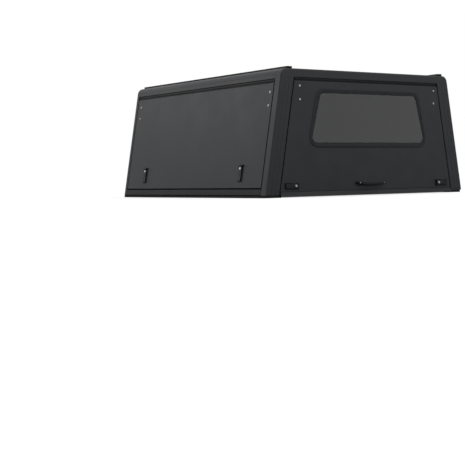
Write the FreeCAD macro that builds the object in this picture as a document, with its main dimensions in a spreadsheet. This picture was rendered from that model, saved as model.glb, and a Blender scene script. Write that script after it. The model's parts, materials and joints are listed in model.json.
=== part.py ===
"""Pickup truck canopy: a leaning sheet-metal shell with two side lift doors and a glazed rear lift door.

All lengths are in millimetres. +X is the vehicle's right, +Y is forwards and +Z is up.
The origin is on the ground under the middle of the canopy. The side walls lean inwards as they rise,
so a point is often given by its depth inwards from the outer face at its own height.
"""
import FreeCAD, Part
import math
import os
import Sketcher

# The driving sizes. Each row holds a name, a number and what the number means.
SIZES = (
    ("body_width", 1620.0, "width over the side walls at the base rails"),
    ("body_length", 1660.0, "length from the rear face to the front face"),
    ("body_height", 740.0, "height from the base rails' underside to the roof"),
    ("side_lean", 10.2, "angle by which the side walls lean inwards"),
    ("seal_height", 15.0, "thickness of the rubber strip under the base rails"),
    ("seal_width", 42.0, "width of the rubber strip under the base rails"),
    ("seal_inset", 8.0, "set-back of the rubber strip from the outer faces"),
    ("frame_sheet", 3.0, "thickness of the folded frame sheet"),
    ("panel_sheet", 2.0, "thickness of the door, liner and roof sheet"),
    ("frame_bend", 4.0, "outer bend radius of the frame's small folds"),
    ("rear_reach", 28.0, "how far the pull handle stands behind the rear face"),
    ("rail_flange", 60.0, "width of the base rails' bottom flange"),
    ("side_sill", 37.0, "height of the side base rails' outer face"),
    ("front_sill", 70.0, "height of the front base rail's outer face"),
    ("door_gap", 6.0, "gap around each door"),
    ("door_depth", 30.0, "thickness of each door"),
    ("jamb_depth", 38.0, "depth of the seal lands behind the outer faces"),
    ("land_width", 20.0, "width of the seal lands"),
    ("rear_post_side", 53.0, "width of the rear posts on the side"),
    ("rear_post_back", 98.0, "width of the rear posts on the rear face"),
    ("front_post_side", 47.0, "width of the front posts on the side"),
    ("front_post_face", 70.0, "width of the front posts on the front face"),
    ("front_corner", 30.0, "outer bend radius of the front posts"),
    ("rear_corner", 8.0, "outer bend radius of the rear posts"),
    ("post_groove", 5.0, "width of the pressed grooves down the rear posts"),
    ("post_groove_depth", 1.0, "depth of the rear posts' grooves"),
    ("post_groove_pitch", 29.0, "distance between the rear posts' grooves"),
    ("side_header", 61.0, "height of the side headers' outer face"),
    ("header_groove", 3.0, "width of the crease along the side headers"),
    ("header_groove_depth", 1.0, "depth of the side headers' crease"),
    ("header_groove_rise", 24.0, "height of the crease above the side headers' lower edge"),
    ("rear_header", 50.0, "height of the rear header's outer face"),
    ("front_header", 50.0, "height of the front header's outer face"),
    ("hinge_recess", 22.0, "height of the open recess between a header and its door"),
    ("roof_corner", 42.0, "bend radius from the side walls to the roof"),
    ("roof_flange", 78.0, "width of the side headers' top flange"),
    ("roof_lap", 40.0, "set-back of the roof sheet from the side walls"),
    ("roof_end_lap", 30.0, "overlap of the roof sheet under the rear header"),
    ("roof_front_lap", 15.0, "overlap of the roof sheet under the front header"),
    ("panel_lap", 18.0, "overlap of the front sheet behind the front header"),
    ("bow_ledge", 30.0, "ledge of the side headers that carries the roof bows"),
    ("bow_width", 44.0, "width of a roof bow's channel"),
    ("bow_flange", 18.0, "width of a roof bow's flanges"),
    ("bow_share", 0.3, "spacing of the roof bows as a share of the length"),
    ("track_width", 36.0, "width of the roof tracks"),
    ("track_height", 12.0, "height of the roof tracks"),
    ("track_wall", 3.0, "wall of the roof tracks"),
    ("track_slot", 11.0, "width of the slot along the roof tracks"),
    ("track_inset", 6.0, "set-back of the roof tracks from the walls' top edge"),
    ("track_rear", 6.0, "set-back of the roof tracks from the rear face"),
    ("track_front", 36.0, "set-back of the roof tracks from the front face"),
    ("hinge_depth", 7.0, "depth of the hinge axes behind the outer faces"),
    ("hinge_rise", 9.5, "height of the hinge axes above the doors' top edges"),
    ("hinge_rod", 3.5, "radius of the rod along each door's hinge"),
    ("hinge_play", 0.3, "radial clearance round the hinge rod"),
    ("hinge_wall", 2.2, "wall of the hinge socket"),
    ("hinge_web", 2.5, "thickness of the hinge webs"),
    ("hinge_leaf", 2.0, "thickness of the hinge leaf on the door's top edge"),
    ("swing_margin", 22.0, "angle that the socket opens beyond the door's swing"),
    ("mouth_reach", 9.6, "how far from the hinge axis the cut of the socket's mouth reaches"),
    ("door_fold", 3.0, "outer bend radius of the doors' folded edges"),
    ("rear_door_foot", 18.0, "height of the rear door's lower edge above the base rails"),
    ("skirt_drop", 12.0, "how far the rear skirt hangs below the base rails"),
    ("skirt_kick", 13.0, "how far the rear skirt kicks out"),
    ("window_base", 308.0, "height of the visible glass's lower edge"),
    ("window_drop", 66.0, "distance of the visible glass's upper edge below the rear door's top"),
    ("window_base_half", 466.0, "half width of the visible glass at its lower edge"),
    ("window_head_half", 389.0, "half width of the visible glass at its upper edge"),
    ("window_corner", 34.0, "corner radius of the visible glass"),
    ("glass_lap", 7.0, "how far the glass runs behind the rubber lip"),
    ("glass_thickness", 4.0, "thickness of the glass"),
    ("reveal_step", 10.0, "how far the liner's window hole is larger than the skin's"),
    ("rubber_core", 4.0, "rubber between the glass edge and the sheet"),
    ("rubber_lap", 12.0, "how far the rubber lip covers the sheet"),
    ("rubber_proud", 3.0, "how far the rubber lip stands proud"),
    ("side_latch_inset", 220.0, "distance of a side latch from the door's end"),
    ("side_latch_rise", 92.0, "distance of a side latch's middle from the door's foot"),
    ("rear_latch_inset", 78.6, "distance of a rear latch's middle from the door's side edge"),
    ("rear_latch_rise", 34.0, "distance of a rear latch's middle from the door's foot"),
    ("latch_length", 108.0, "length of a latch plate"),
    ("latch_width", 42.0, "width of a latch plate"),
    ("latch_plate", 3.0, "thickness of a latch plate"),
    ("latch_box_length", 76.0, "length of a latch's box inside the door"),
    ("latch_box_width", 30.0, "width of a latch's box inside the door"),
    ("latch_box_depth", 20.0, "depth of a latch's box behind the skin"),
    ("paddle_width", 30.0, "width of a latch paddle"),
    ("paddle_thickness", 8.0, "thickness of a latch paddle"),
    ("paddle_lift", 1.0, "gap between a paddle and its plate"),
    ("paddle_margin", 5.0, "set-back of a paddle from its plate's ends"),
    ("pin_radius", 2.5, "radius of a paddle's pivot pin"),
    ("pin_play", 0.08, "radial clearance round a paddle's pivot pin"),
    ("ear_thickness", 4.0, "thickness of a latch plate's pivot ears"),
    ("ear_gap", 0.6, "gap between a paddle and an ear"),
    ("lock_radius", 7.0, "radius of a lock barrel"),
    ("lock_proud", 2.0, "how far a lock barrel stands out of its paddle"),
    ("lock_offset", 27.0, "distance of a lock barrel from the plate's pivot end"),
    ("grab_length", 236.0, "length of the rear pull handle"),
    ("grab_width", 24.0, "height of the rear pull handle"),
    ("grab_grip", 12.0, "thickness of the rear pull handle's grip"),
    ("grab_taper", 74.0, "length over which the pull handle narrows towards each end"),
    ("grab_taper_rise", 8.0, "how much the pull handle's lower edge rises towards each end"),
    ("grab_foot", 38.0, "length of each foot of the rear pull handle"),
    ("grab_rise", 41.0, "distance of the pull handle's middle from the door's foot"),
    ("strip_width", 14.0, "width of the door rubbers"),
    ("strip_play", 0.4, "gap between a closed door and its rubber"),
)

doc = FreeCAD.newDocument("TruckCanopy")
sheet = doc.addObject("Spreadsheet::Sheet", "Sizes")
for row, (alias, number, meaning) in enumerate(SIZES, start=1):
    sheet.set(f"A{row}", meaning)
    sheet.set(f"B{row}", str(number))
    sheet.setAlias(f"B{row}", alias)
doc.recompute()

LEFT, RIGHT = 1, -1
SIDES = (("left", LEFT), ("right", RIGHT))


class Size:
    """A number together with the expression over the sheet's cells that gives it."""

    def __init__(self, value, text):
        self.value = value
        self.text = text

    def __add__(self, other):
        other = as_size(other)
        return Size(self.value + other.value, f"({self.text} + {other.text})")

    def __sub__(self, other):
        other = as_size(other)
        return Size(self.value - other.value, f"({self.text} - {other.text})")

    def __mul__(self, other):
        other = as_size(other)
        return Size(self.value * other.value, f"({self.text} * {other.text})")

    def __truediv__(self, other):
        other = as_size(other)
        return Size(self.value / other.value, f"({self.text} / {other.text})")

    def __radd__(self, other):
        return as_size(other) + self

    def __rsub__(self, other):
        return as_size(other) - self

    def __rmul__(self, other):
        return as_size(other) * self

    def __neg__(self):
        return Size(-self.value, f"(0 - {self.text})")


def as_size(number):
    """A plain number as a Size."""
    if isinstance(number, Size):
        return number
    return Size(float(number), f"({float(number)!r})")


def cell(alias):
    """The driving size of that name."""
    return Size(float(sheet.get(alias)), f"Sizes.{alias}")


def sine(angle):
    """The sine of an angle in degrees."""
    return Size(math.sin(math.radians(angle.value)), f"sin({angle.text})")


def cosine(angle):
    """The cosine of an angle in degrees."""
    return Size(math.cos(math.radians(angle.value)), f"cos({angle.text})")


def tangent(angle):
    """The tangent of an angle in degrees."""
    return Size(math.tan(math.radians(angle.value)), f"tan({angle.text})")


def turn_of(run, fall):
    """The angle in degrees of a slope, by its run for a fall."""
    ratio = run / fall
    return Size(math.degrees(math.atan(ratio.value)), f"(atan({ratio.text}) / 1deg)")


ZERO = as_size(0)
QUARTER_TURN = as_size(90)
WIDTH = cell("body_width")
LENGTH = cell("body_length")
LEAN = cell("side_lean")
SHEET = cell("frame_sheet")
SKIN = cell("panel_sheet")
GAP = cell("door_gap")
JAMB = cell("jamb_depth")
LAND = cell("land_width")
DEPTH = cell("door_depth")
RECESS = cell("hinge_recess")

# Sheet thickness measured level across a leaning wall.
LEVEL_SHEET = SHEET / cosine(LEAN)
LEVEL_SKIN = SKIN / cosine(LEAN)

# Heights above the ground.
BASE = cell("seal_height")
ROOF = BASE + cell("body_height")
SIDE_SILL = BASE + cell("side_sill")
FRONT_SILL = BASE + cell("front_sill")
SIDE_HEAD = ROOF - cell("side_header")
REAR_HEAD = ROOF - cell("rear_header")
FRONT_HEAD = ROOF - cell("front_header")
ROOF_UNDER = ROOF - SHEET - SKIN

# Places along the vehicle.
REAR = (cell("rear_reach") - LENGTH) / 2
FRONT = (cell("rear_reach") + LENGTH) / 2
REAR_JAMB = REAR + cell("rear_post_side")
FRONT_JAMB = FRONT - cell("front_post_side")
DOOR_BACK = REAR_JAMB + GAP
DOOR_FRONT = FRONT_JAMB - GAP

# Distances up the leaning side walls, from the base rails' underside.
SIDE_DOOR_FOOT = (cell("side_sill") + GAP) / cosine(LEAN)
SIDE_DOOR_TOP = (SIDE_HEAD - BASE - RECESS) / cosine(LEAN)

# The rear door's heights above the ground.
REAR_DOOR_FOOT = BASE + cell("rear_door_foot")
REAR_DOOR_TOP = REAR_HEAD - RECESS

finished = []


def half_width(level):
    """Half the canopy's outer width at a height above the ground."""
    return WIDTH / 2 - tangent(LEAN) * (level - BASE)


def across(side, depth, level):
    """The X of a point at a depth inwards from a side wall's outer face."""
    return side * (depth - half_width(level))


def section(side, points):
    """Points (depth, level) behind a side wall's face as (X, Z)."""
    return [(across(side, depth, level), level) for depth, level in points]


def square_in(depth, level):
    """The (depth, level) reached by going square in from a side wall's face at a level."""
    return (depth, level - depth * sine(LEAN) * cosine(LEAN))


def body(name):
    """A new piece, in the canopy's own frame."""
    piece = doc.addObject("PartDesign::Body", name)
    piece.Label = name
    finished.append(piece)
    return piece


def lean_over(piece, side):
    """Stand a piece on a side wall: local Z runs up the wall and local X runs across it."""
    axis = FreeCAD.Vector(0, side, 0)
    piece.Placement = FreeCAD.Placement(FreeCAD.Vector(), FreeCAD.Rotation(axis, LEAN.value))
    piece.setExpression("Placement.Base.x", (-side * WIDTH / 2).text)
    piece.setExpression("Placement.Base.z", BASE.text)
    piece.setExpression("Placement.Rotation.Angle", LEAN.text)


def plane_of(piece, role):
    """The origin plane of a piece by its role."""
    for feature in piece.Origin.OriginFeatures:
        if feature.Role == role + "_Plane":
            return feature
    raise ValueError(role)


def sketch_on(piece, role, at):
    """A sketch parallel to an origin plane, at a place along the axis across that plane."""
    drawing = piece.newObject("Sketcher::SketchObject", piece.Name + "Sketch")
    drawing.AttachmentSupport = [(plane_of(piece, role), "")]
    drawing.MapMode = "FlatFace"
    lift = -as_size(at) if role == "XZ" else as_size(at)
    drawing.AttachmentOffset.Base = FreeCAD.Vector(0, 0, lift.value)
    drawing.setExpression("AttachmentOffset.Base.z", lift.text)
    return drawing


def pin_point(drawing, geometry, end, place, drawn):
    """Hold one point of a sketch at a place bound to the sheet."""
    for kind, coordinate in zip(("DistanceX", "DistanceY"), place):
        coordinate = as_size(coordinate)
        index = drawing.addConstraint(Sketcher.Constraint(kind, -1, 1, geometry, end, coordinate.value))
        drawn.append((index, coordinate.text))


def draw_outline(drawing, points):
    """Draw a closed outline through points, each held at its own place."""
    first = drawing.GeometryCount
    places = [FreeCAD.Vector(as_size(a).value, as_size(b).value, 0) for a, b in points]
    count = len(places)
    lines = [Part.LineSegment(places[i], places[(i + 1) % count]) for i in range(count)]
    drawing.addGeometry(lines, False)
    joints = [
        Sketcher.Constraint("Coincident", first + i, 2, first + (i + 1) % count, 1)
        for i in range(count)
    ]
    drawing.addConstraint(joints)
    drawn = []
    for i, point in enumerate(points):
        pin_point(drawing, first + i, 1, point, drawn)
    for index, text in drawn:
        drawing.setExpression(f"Constraints[{index}]", text)


def round_corner(before, corner, after, radius, turn):
    """The arc that rounds a corner, as a circle's arc drawn anticlockwise."""
    back = (before - corner).normalize()
    ahead = (after - corner).normalize()
    half_angle = back.getAngle(ahead) / 2
    centre = corner + (back + ahead).normalize() * (radius / math.sin(half_angle))
    reach = radius / math.tan(half_angle)
    spokes = [corner + back * reach - centre, corner + ahead * reach - centre]
    if turn < 0:
        spokes.reverse()
    angles = [math.atan2(spoke.y, spoke.x) for spoke in spokes]
    if angles[1] < angles[0]:
        angles[1] += 2 * math.pi
    return Part.ArcOfCircle(Part.Circle(centre, FreeCAD.Vector(0, 0, 1), radius), *angles)


def draw_rounded(drawing, points, radius):
    """Draw a closed outline with every corner rounded, each sharp corner held at its own place."""
    first = drawing.GeometryCount
    radius = as_size(radius)
    places = [FreeCAD.Vector(as_size(a).value, as_size(b).value, 0) for a, b in points]
    count = len(places)
    turn = sum(places[i - 1].cross(places[i]).z for i in range(count))
    arcs = [
        round_corner(places[i - 1], places[i], places[(i + 1) % count], radius.value, turn)
        for i in range(count)
    ]
    enter, leave = (1, 2) if turn > 0 else (2, 1)
    ends = [(arc.StartPoint, arc.EndPoint) if turn > 0 else (arc.EndPoint, arc.StartPoint) for arc in arcs]
    lines = [Part.LineSegment(ends[i][1], ends[(i + 1) % count][0]) for i in range(count)]
    drawing.addGeometry(arcs + lines, False)
    corners = [drawing.addGeometry(Part.Point(place), True) for place in places]
    drawn = []
    for i, point in enumerate(points):
        arc = first + i
        line = first + count + i
        arriving = first + count + (i - 1) % count
        drawing.addConstraint([
            Sketcher.Constraint("Tangent", arc, leave, line, 1),
            Sketcher.Constraint("Tangent", arriving, 2, arc, enter),
            Sketcher.Constraint("PointOnObject", corners[i], 1, line),
            Sketcher.Constraint("PointOnObject", corners[i], 1, arriving),
        ])
        pin_point(drawing, corners[i], 1, point, drawn)
        index = drawing.addConstraint(Sketcher.Constraint("Radius", arc, radius.value))
        drawn.append((index, radius.text))
    for index, text in drawn:
        drawing.setExpression(f"Constraints[{index}]", text)


def draw_circle(drawing, centre, radius):
    """Draw a circle with its centre and radius bound to the sheet."""
    radius = as_size(radius)
    place = FreeCAD.Vector(as_size(centre[0]).value, as_size(centre[1]).value, 0)
    number = drawing.addGeometry(Part.Circle(place, FreeCAD.Vector(0, 0, 1), radius.value), False)
    drawn = []
    pin_point(drawing, number, 3, centre, drawn)
    index = drawing.addConstraint(Sketcher.Constraint("Radius", number, radius.value))
    drawn.append((index, radius.text))
    for index, text in drawn:
        drawing.setExpression(f"Constraints[{index}]", text)


def extrude(piece, kind, role, at, towards, length, outlines=(), circles=(), corner=None):
    """Pad or pocket closed outlines and circles from a plane, towards + or - of its axis."""
    drawing = sketch_on(piece, role, at)
    for outline in outlines:
        if corner is None:
            draw_outline(drawing, outline)
        else:
            draw_rounded(drawing, outline, corner)
    for centre, radius in circles:
        draw_circle(drawing, centre, radius)
    feature = piece.newObject("PartDesign::" + kind, piece.Name + kind)
    feature.Profile = drawing
    along_normal = towards < 0 if role == "XZ" else towards > 0
    feature.Reversed = along_normal if kind == "Pocket" else not along_normal
    feature.Length = as_size(length).value
    feature.setExpression("Length", as_size(length).text)
    doc.recompute()
    return feature


def pad(piece, role, at, towards, length, outlines=(), circles=(), corner=None):
    """Add a prism to a piece."""
    return extrude(piece, "Pad", role, at, towards, length, outlines, circles, corner)


def pocket(piece, role, at, towards, length, outlines=(), circles=(), corner=None):
    """Cut a prism out of a piece."""
    before = piece.Shape.Volume
    feature = extrude(piece, "Pocket", role, at, towards, length, outlines, circles, corner)
    if piece.Shape.Volume > before - 1e-3:
        raise ValueError(piece.Name + " has a pocket that cuts nothing")
    return feature


def lean_pad(piece, side, at, length, outline):
    """Add a prism that rises along a side wall, between two levels."""
    feature = extrude(piece, "Pad", "XY", at, 1, length, [outline])
    feature.UseCustomVector = True
    feature.AlongSketchNormal = True
    feature.Direction = FreeCAD.Vector(side * tangent(LEAN).value, 0, 1)
    feature.setExpression("Direction.x", (side * tangent(LEAN)).text)
    doc.recompute()
    return feature


# An edge runs along an axis if this share of its length does, goes through a corner that is this near,
# and lies in a plane that is this near.
ALONG = 0.8
TOUCH = 0.5
NEAR = 0.01


def round_edges(piece, radius, axis, corners):
    """Round the edges that run along an axis and have an end at a corner given in the plane across it."""
    radius = as_size(radius)
    axes = [index for index in range(3) if index != axis]
    names = []
    for number, edge in enumerate(piece.Shape.Edges, start=1):
        ends = [vertex.Point for vertex in edge.Vertexes]
        if len(ends) != 2:
            continue
        local = [piece.Placement.inverse().multVec(end) for end in ends]
        run = local[1] - local[0]
        if abs(run[axis]) < ALONG * run.Length:
            continue
        places = [(as_size(a).value, as_size(b).value) for a, b in corners]
        if any(math.dist((end[axes[0]], end[axes[1]]), place) < TOUCH for end in local for place in places):
            names.append(f"Edge{number}")
    return add_fillet(piece, radius, names)


def add_fillet(piece, radius, names):
    """Round the named edges of a piece."""
    if not names:
        raise ValueError(piece.Name + " has no edge to round")
    carrier = piece.Tip
    feature = piece.newObject("PartDesign::Fillet", piece.Name + "Fillet")
    feature.Base = (carrier, names)
    feature.Radius = radius.value
    feature.setExpression("Radius", radius.text)
    piece.Tip = feature
    doc.recompute()
    return feature


def box_outline(low, high):
    """A rectangle between two corners."""
    return [(low[0], low[1]), (high[0], low[1]), (high[0], high[1]), (low[0], high[1])]


COMPASS = {"E": (1, 0), "N": (0, 1), "W": (-1, 0), "S": (0, -1)}
LEFT_OF = {"E": (0, 1), "N": (-1, 0), "W": (0, -1), "S": (1, 0)}


def folded(start, legs, thickness):
    """The section of a folded sheet: a path of square legs, with the sheet on the path's left."""
    path = [start]
    for heading, run in legs:
        step = COMPASS[heading]
        last = path[-1]
        path.append((last[0] + step[0] * run, last[1] + step[1] * run))
    inner = []
    for index, place in enumerate(path):
        sides = [legs[index - 1][0]] if index > 0 else []
        if index < len(legs):
            sides.append(legs[index][0])
        shift = [sum(LEFT_OF[heading][axis] for heading in set(sides)) for axis in range(2)]
        inner.append((place[0] + shift[0] * thickness, place[1] + shift[1] * thickness))
    return path + inner[::-1]


# The rubber strip that lies on the vehicle's load-bed rails.

def make_base_seal():
    """Three rubber strips under the base rails, standing free of each other."""
    piece = body("base_seal")
    inset = cell("seal_inset")
    outer = WIDTH / 2 - inset
    inner = outer - cell("seal_width")
    outlines = [
        box_outline((outer * sign * -1, REAR + inset), (inner * sign * -1, FRONT - inset))
        for _, sign in SIDES
    ]
    outlines.append(
        box_outline((-inner + GAP, FRONT - inset - cell("seal_width")), (inner - GAP, FRONT - inset))
    )
    piece.AllowCompound = True
    pad(piece, "XY", ZERO, 1, BASE, outlines)


# The frame: base rails, corner posts and headers.

def make_side_rail(name, side):
    """A folded base rail: bottom flange, leaning outer face, a sill square to it and a seal land."""
    piece = body(name)
    lip = SIDE_SILL - SHEET
    behind = JAMB + LEVEL_SHEET
    outline = [
        (ZERO, BASE),
        (cell("rail_flange"), BASE),
        (cell("rail_flange"), BASE + SHEET),
        (LEVEL_SHEET, BASE + SHEET),
        square_in(LEVEL_SHEET, lip),
        square_in(behind, lip),
        square_in(behind, SIDE_SILL),
        (ZERO, SIDE_SILL),
    ]
    pad(piece, "XZ", REAR_JAMB, 1, FRONT_JAMB - REAR_JAMB, [section(side, outline)])
    folds = section(side, [(ZERO, BASE), (ZERO, SIDE_SILL)])
    round_edges(piece, cell("frame_bend"), 1, folds)
    top = SIDE_SILL + GAP + LAND
    land = [square_in(JAMB, lip), square_in(behind, lip), square_in(behind, top), square_in(JAMB, top)]
    start = REAR_JAMB + LAND
    pad(piece, "XZ", start, 1, FRONT_JAMB - LAND - start, [section(side, land)])


def make_front_rail():
    """The front base rail: a face between the front posts on a bottom flange."""
    piece = body("base_rail_front")
    tip = cell("front_post_face")
    face = [
        (half_width(BASE) - tip, BASE),
        (half_width(FRONT_SILL) - tip, FRONT_SILL),
        (tip - half_width(FRONT_SILL), FRONT_SILL),
        (tip - half_width(BASE), BASE),
    ]
    pad(piece, "XZ", FRONT, -1, SHEET, [face])
    reach = half_width(BASE + SHEET) - tip
    pad(piece, "XY", BASE, 1, SHEET, [
        box_outline((-reach, FRONT - cell("rail_flange")), (reach, FRONT - SHEET / 2)),
    ])


def bend_post(piece, side, outside, inside, radius):
    """Round a post's outer corner and the corner inside it."""
    for (depth, place), bend in ((inside, radius - SHEET), (outside, radius)):
        round_edges(piece, bend, 2, [(across(side, depth, BASE), place)])


def grooved_leg(plan):
    """Press two shallow grooves into the rear leg of a rear post's section."""
    pitch = cell("post_groove_pitch")
    half = cell("post_groove") / 2
    floor = REAR + cell("post_groove_depth")
    middle = cell("rear_post_back") / 2
    grooves = []
    for centre in (middle - pitch / 2, middle + pitch / 2):
        low, high = centre - half, centre + half
        grooves += [(low, REAR), (low, floor), (high, floor), (high, REAR)]
    return plan[:3] + grooves + plan[3:]


def make_rear_post(name, side):
    """A folded corner post: side leg, corner, rear leg and the jambs with their seal lands."""
    piece = body(name)
    legs = [
        ("W", JAMB),
        ("S", cell("rear_post_side")),
        ("E", cell("rear_post_back")),
        ("N", JAMB),
        ("E", LAND),
    ]
    plan = folded((JAMB, REAR_JAMB), legs, SHEET)
    plan = grooved_leg(plan)
    outline = [(across(side, depth, BASE), place) for depth, place in plan]
    lean_pad(piece, side, BASE, REAR_HEAD - BASE, outline)
    bend_post(piece, side, (ZERO, REAR), (SHEET, REAR + SHEET), cell("rear_corner"))
    folds = [(across(side, ZERO, BASE), REAR_JAMB), (across(side, cell("rear_post_back"), BASE), REAR)]
    round_edges(piece, cell("frame_bend"), 2, folds)
    land = box_outline((JAMB, REAR_JAMB - SHEET), (JAMB + SHEET, REAR_JAMB + LAND))
    leaf = [(across(side, depth, SIDE_SILL), place) for depth, place in land]
    lean_pad(piece, side, SIDE_SILL, SIDE_HEAD - SIDE_SILL, leaf)


def make_front_post(name, side):
    """A folded corner post with a wide bend: side leg, front leg and the side door's jamb."""
    piece = body(name)
    legs = [
        ("W", cell("front_post_face")),
        ("S", cell("front_post_side")),
        ("E", JAMB),
    ]
    plan = folded((cell("front_post_face"), FRONT), legs, SHEET)
    outline = [(across(side, depth, BASE), place) for depth, place in plan]
    lean_pad(piece, side, BASE, FRONT_HEAD - BASE, outline)
    bend_post(piece, side, (ZERO, FRONT), (SHEET, FRONT - SHEET), cell("front_corner"))
    round_edges(piece, cell("frame_bend"), 2, [(across(side, ZERO, BASE), FRONT_JAMB)])
    land = box_outline((JAMB, FRONT_JAMB - LAND), (JAMB + SHEET, FRONT_JAMB + SHEET))
    leaf = [(across(side, depth, SIDE_SILL), place) for depth, place in land]
    lean_pad(piece, side, SIDE_SILL, SIDE_HEAD - SIDE_SILL, leaf)


def hinge_frame(side):
    """Where a side door's hinge axis is, with the outward and downward steps there as (X, Z)."""
    up = SIDE_DOOR_TOP + cell("hinge_rise")
    depth = cell("hinge_depth")
    centre = (
        side * (up * sine(LEAN) + depth * cosine(LEAN) - WIDTH / 2),
        BASE + up * cosine(LEAN) - depth * sine(LEAN),
    )
    outward = (-side * cosine(LEAN), sine(LEAN))
    downward = (-side * sine(LEAN), -cosine(LEAN))
    return centre, outward, downward


def rear_hinge_frame():
    """Where the rear door's hinge axis is, with the outward and downward steps there as (Y, Z)."""
    centre = (REAR + cell("hinge_depth"), REAR_DOOR_TOP + cell("hinge_rise"))
    return centre, (as_size(-1), ZERO), (ZERO, as_size(-1))


def hinge_points(frame, pairs):
    """Points given by their outward and downward distances from a hinge axis."""
    centre, outward, downward = frame
    return [
        tuple(centre[i] + outward[i] * out + downward[i] * down for i in range(2))
        for out, down in pairs
    ]


def rear_hinge_run():
    """Half the length of the rear door's hinge."""
    return half_width(REAR_HEAD) - cell("rear_post_back") - GAP


def add_socket(piece, role, at, length, frame, ceiling):
    """A hinge socket along a header: a tube, open over the door's swing, on a web to the ceiling."""
    inner = cell("hinge_rod") + cell("hinge_play")
    outer = inner + cell("hinge_wall")
    web = cell("hinge_web") / 2
    stem = hinge_points(frame, [
        (-web, -inner - web / 2),
        (web, -inner - web / 2),
        (web, -ceiling - web / 2),
        (-web, -ceiling - web / 2),
    ])
    pad(piece, role, at, 1, length, [stem])
    pad(piece, role, at, 1, length, circles=[(frame[0], outer)])
    pocket(piece, role, at, 1, length, circles=[(frame[0], inner)])
    reach = cell("mouth_reach")
    margin = cell("swing_margin")
    mouth = hinge_points(frame, [
        (ZERO, ZERO),
        (reach * cosine(margin), -reach * sine(margin)),
        (reach, reach),
        (-reach * sine(margin), reach * cosine(margin)),
    ])
    pocket(piece, role, at, 1, length, [mouth])


def make_side_header(name, side):
    """A side header: outer face, roof bend, flange, recess ceiling, bow ledge, land and hinge socket."""
    piece = body(name)
    flange = cell("roof_flange")
    ledge = JAMB + cell("bow_ledge")
    outline = [
        (ZERO, SIDE_HEAD),
        (ZERO, ROOF),
        (flange, ROOF),
        (flange, ROOF - SHEET),
        (LEVEL_SHEET, ROOF - SHEET),
        (LEVEL_SHEET, SIDE_HEAD + SHEET),
        (ledge, SIDE_HEAD + SHEET),
        (ledge, SIDE_HEAD),
    ]
    points = section(side, outline)
    length = FRONT_JAMB - REAR_JAMB
    pad(piece, "XZ", REAR_JAMB, 1, length, [points])
    round_edges(piece, cell("roof_corner") - SHEET, 1, [points[4]])
    round_edges(piece, cell("roof_corner"), 1, [points[1]])
    round_edges(piece, cell("frame_bend"), 1, [points[0]])
    crease = SIDE_HEAD + cell("header_groove_rise")
    top = crease + cell("header_groove")
    deep = cell("header_groove_depth")
    groove = [(-deep, crease), (-deep, top), (deep, top), (deep, crease)]
    pocket(piece, "XZ", REAR_JAMB, 1, length, [section(side, groove)])
    foot = SIDE_HEAD - RECESS - LAND
    land = [(JAMB, SIDE_HEAD), (JAMB + LEVEL_SHEET, SIDE_HEAD), (JAMB + LEVEL_SHEET, foot), (JAMB, foot)]
    start = REAR_JAMB + LAND
    pad(piece, "XZ", start, 1, FRONT_JAMB - LAND - start, [section(side, land)])
    frame = hinge_frame(side)
    ceiling = (SIDE_HEAD - frame[0][1]) / cosine(LEAN)
    add_socket(piece, "XZ", DOOR_BACK, DOOR_FRONT - DOOR_BACK, frame, ceiling)


def round_rim(piece, radius, at, foot):
    """Round a header's rim where it leaves a face at a place along Y, but not the face's lower edge."""
    radius = as_size(radius)
    names = []
    for number, edge in enumerate(piece.Shape.Edges, start=1):
        ends = [vertex.Point for vertex in edge.Vertexes]
        flat = all(abs(end.y - as_size(at).value) < NEAR for end in ends)
        lowest = all(abs(end.z - as_size(foot).value) < NEAR for end in ends)
        if flat and not lowest:
            names.append(f"Edge{number}")
    return add_fillet(piece, radius, names)


def make_end_header(name, at, inwards, head, depth, bend):
    """A header across an end: a pressed tray with its rim turned inwards along the roof and sides."""
    piece = body(name)
    rim = [
        (-half_width(head), head),
        (half_width(head), head),
        (half_width(ROOF), ROOF),
        (-half_width(ROOF), ROOF),
    ]
    pad(piece, "XZ", at, inwards, depth, [rim])
    under = ROOF - SHEET
    hollow = [
        (LEVEL_SHEET - half_width(head - SHEET), head - SHEET),
        (half_width(head - SHEET) - LEVEL_SHEET, head - SHEET),
        (half_width(under) - LEVEL_SHEET, under),
        (LEVEL_SHEET - half_width(under), under),
    ]
    pocket(piece, "XZ", at + inwards * SHEET, inwards, depth, [hollow])
    round_edges(piece, cell("roof_corner") - SHEET, 1, hollow[2:])
    round_edges(piece, cell("roof_corner"), 1, rim[2:])
    round_rim(piece, bend - SHEET, at + inwards * SHEET, head)
    round_rim(piece, bend, at, head)
    return piece


def make_rear_header():
    """The rear header, with the recess ceiling, the seal land and the hinge socket of the rear door."""
    depth = cell("rear_post_side")
    piece = make_end_header("rear_header", REAR, 1, REAR_HEAD, depth, cell("rear_corner"))
    reach = half_width(REAR_HEAD) - cell("rear_post_back")
    pad(piece, "YZ", -reach, 1, reach * 2, [
        box_outline((REAR + SHEET / 2, REAR_HEAD), (REAR + JAMB + SHEET, REAR_HEAD + SHEET)),
    ])
    tip = reach - LAND
    foot = REAR_HEAD - RECESS - LAND
    pad(piece, "YZ", -tip, 1, tip * 2, [
        box_outline((REAR + JAMB, foot), (REAR + JAMB + SHEET, REAR_HEAD + SHEET / 2)),
    ])
    frame = rear_hinge_frame()
    run = rear_hinge_run()
    add_socket(piece, "YZ", -run, run * 2, frame, REAR_HEAD - frame[0][1])


# The roof.

def make_roof_sheet():
    """The flat roof sheet, lapped under the headers' flanges."""
    piece = body("roof_sheet")
    reach = half_width(ROOF) - cell("roof_lap")
    low = (-reach, REAR + cell("rear_post_side") - cell("roof_end_lap"))
    high = (reach, FRONT - cell("front_post_side") + cell("roof_front_lap"))
    pad(piece, "XY", ROOF_UNDER, 1, SKIN, [box_outline(low, high)])


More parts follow.
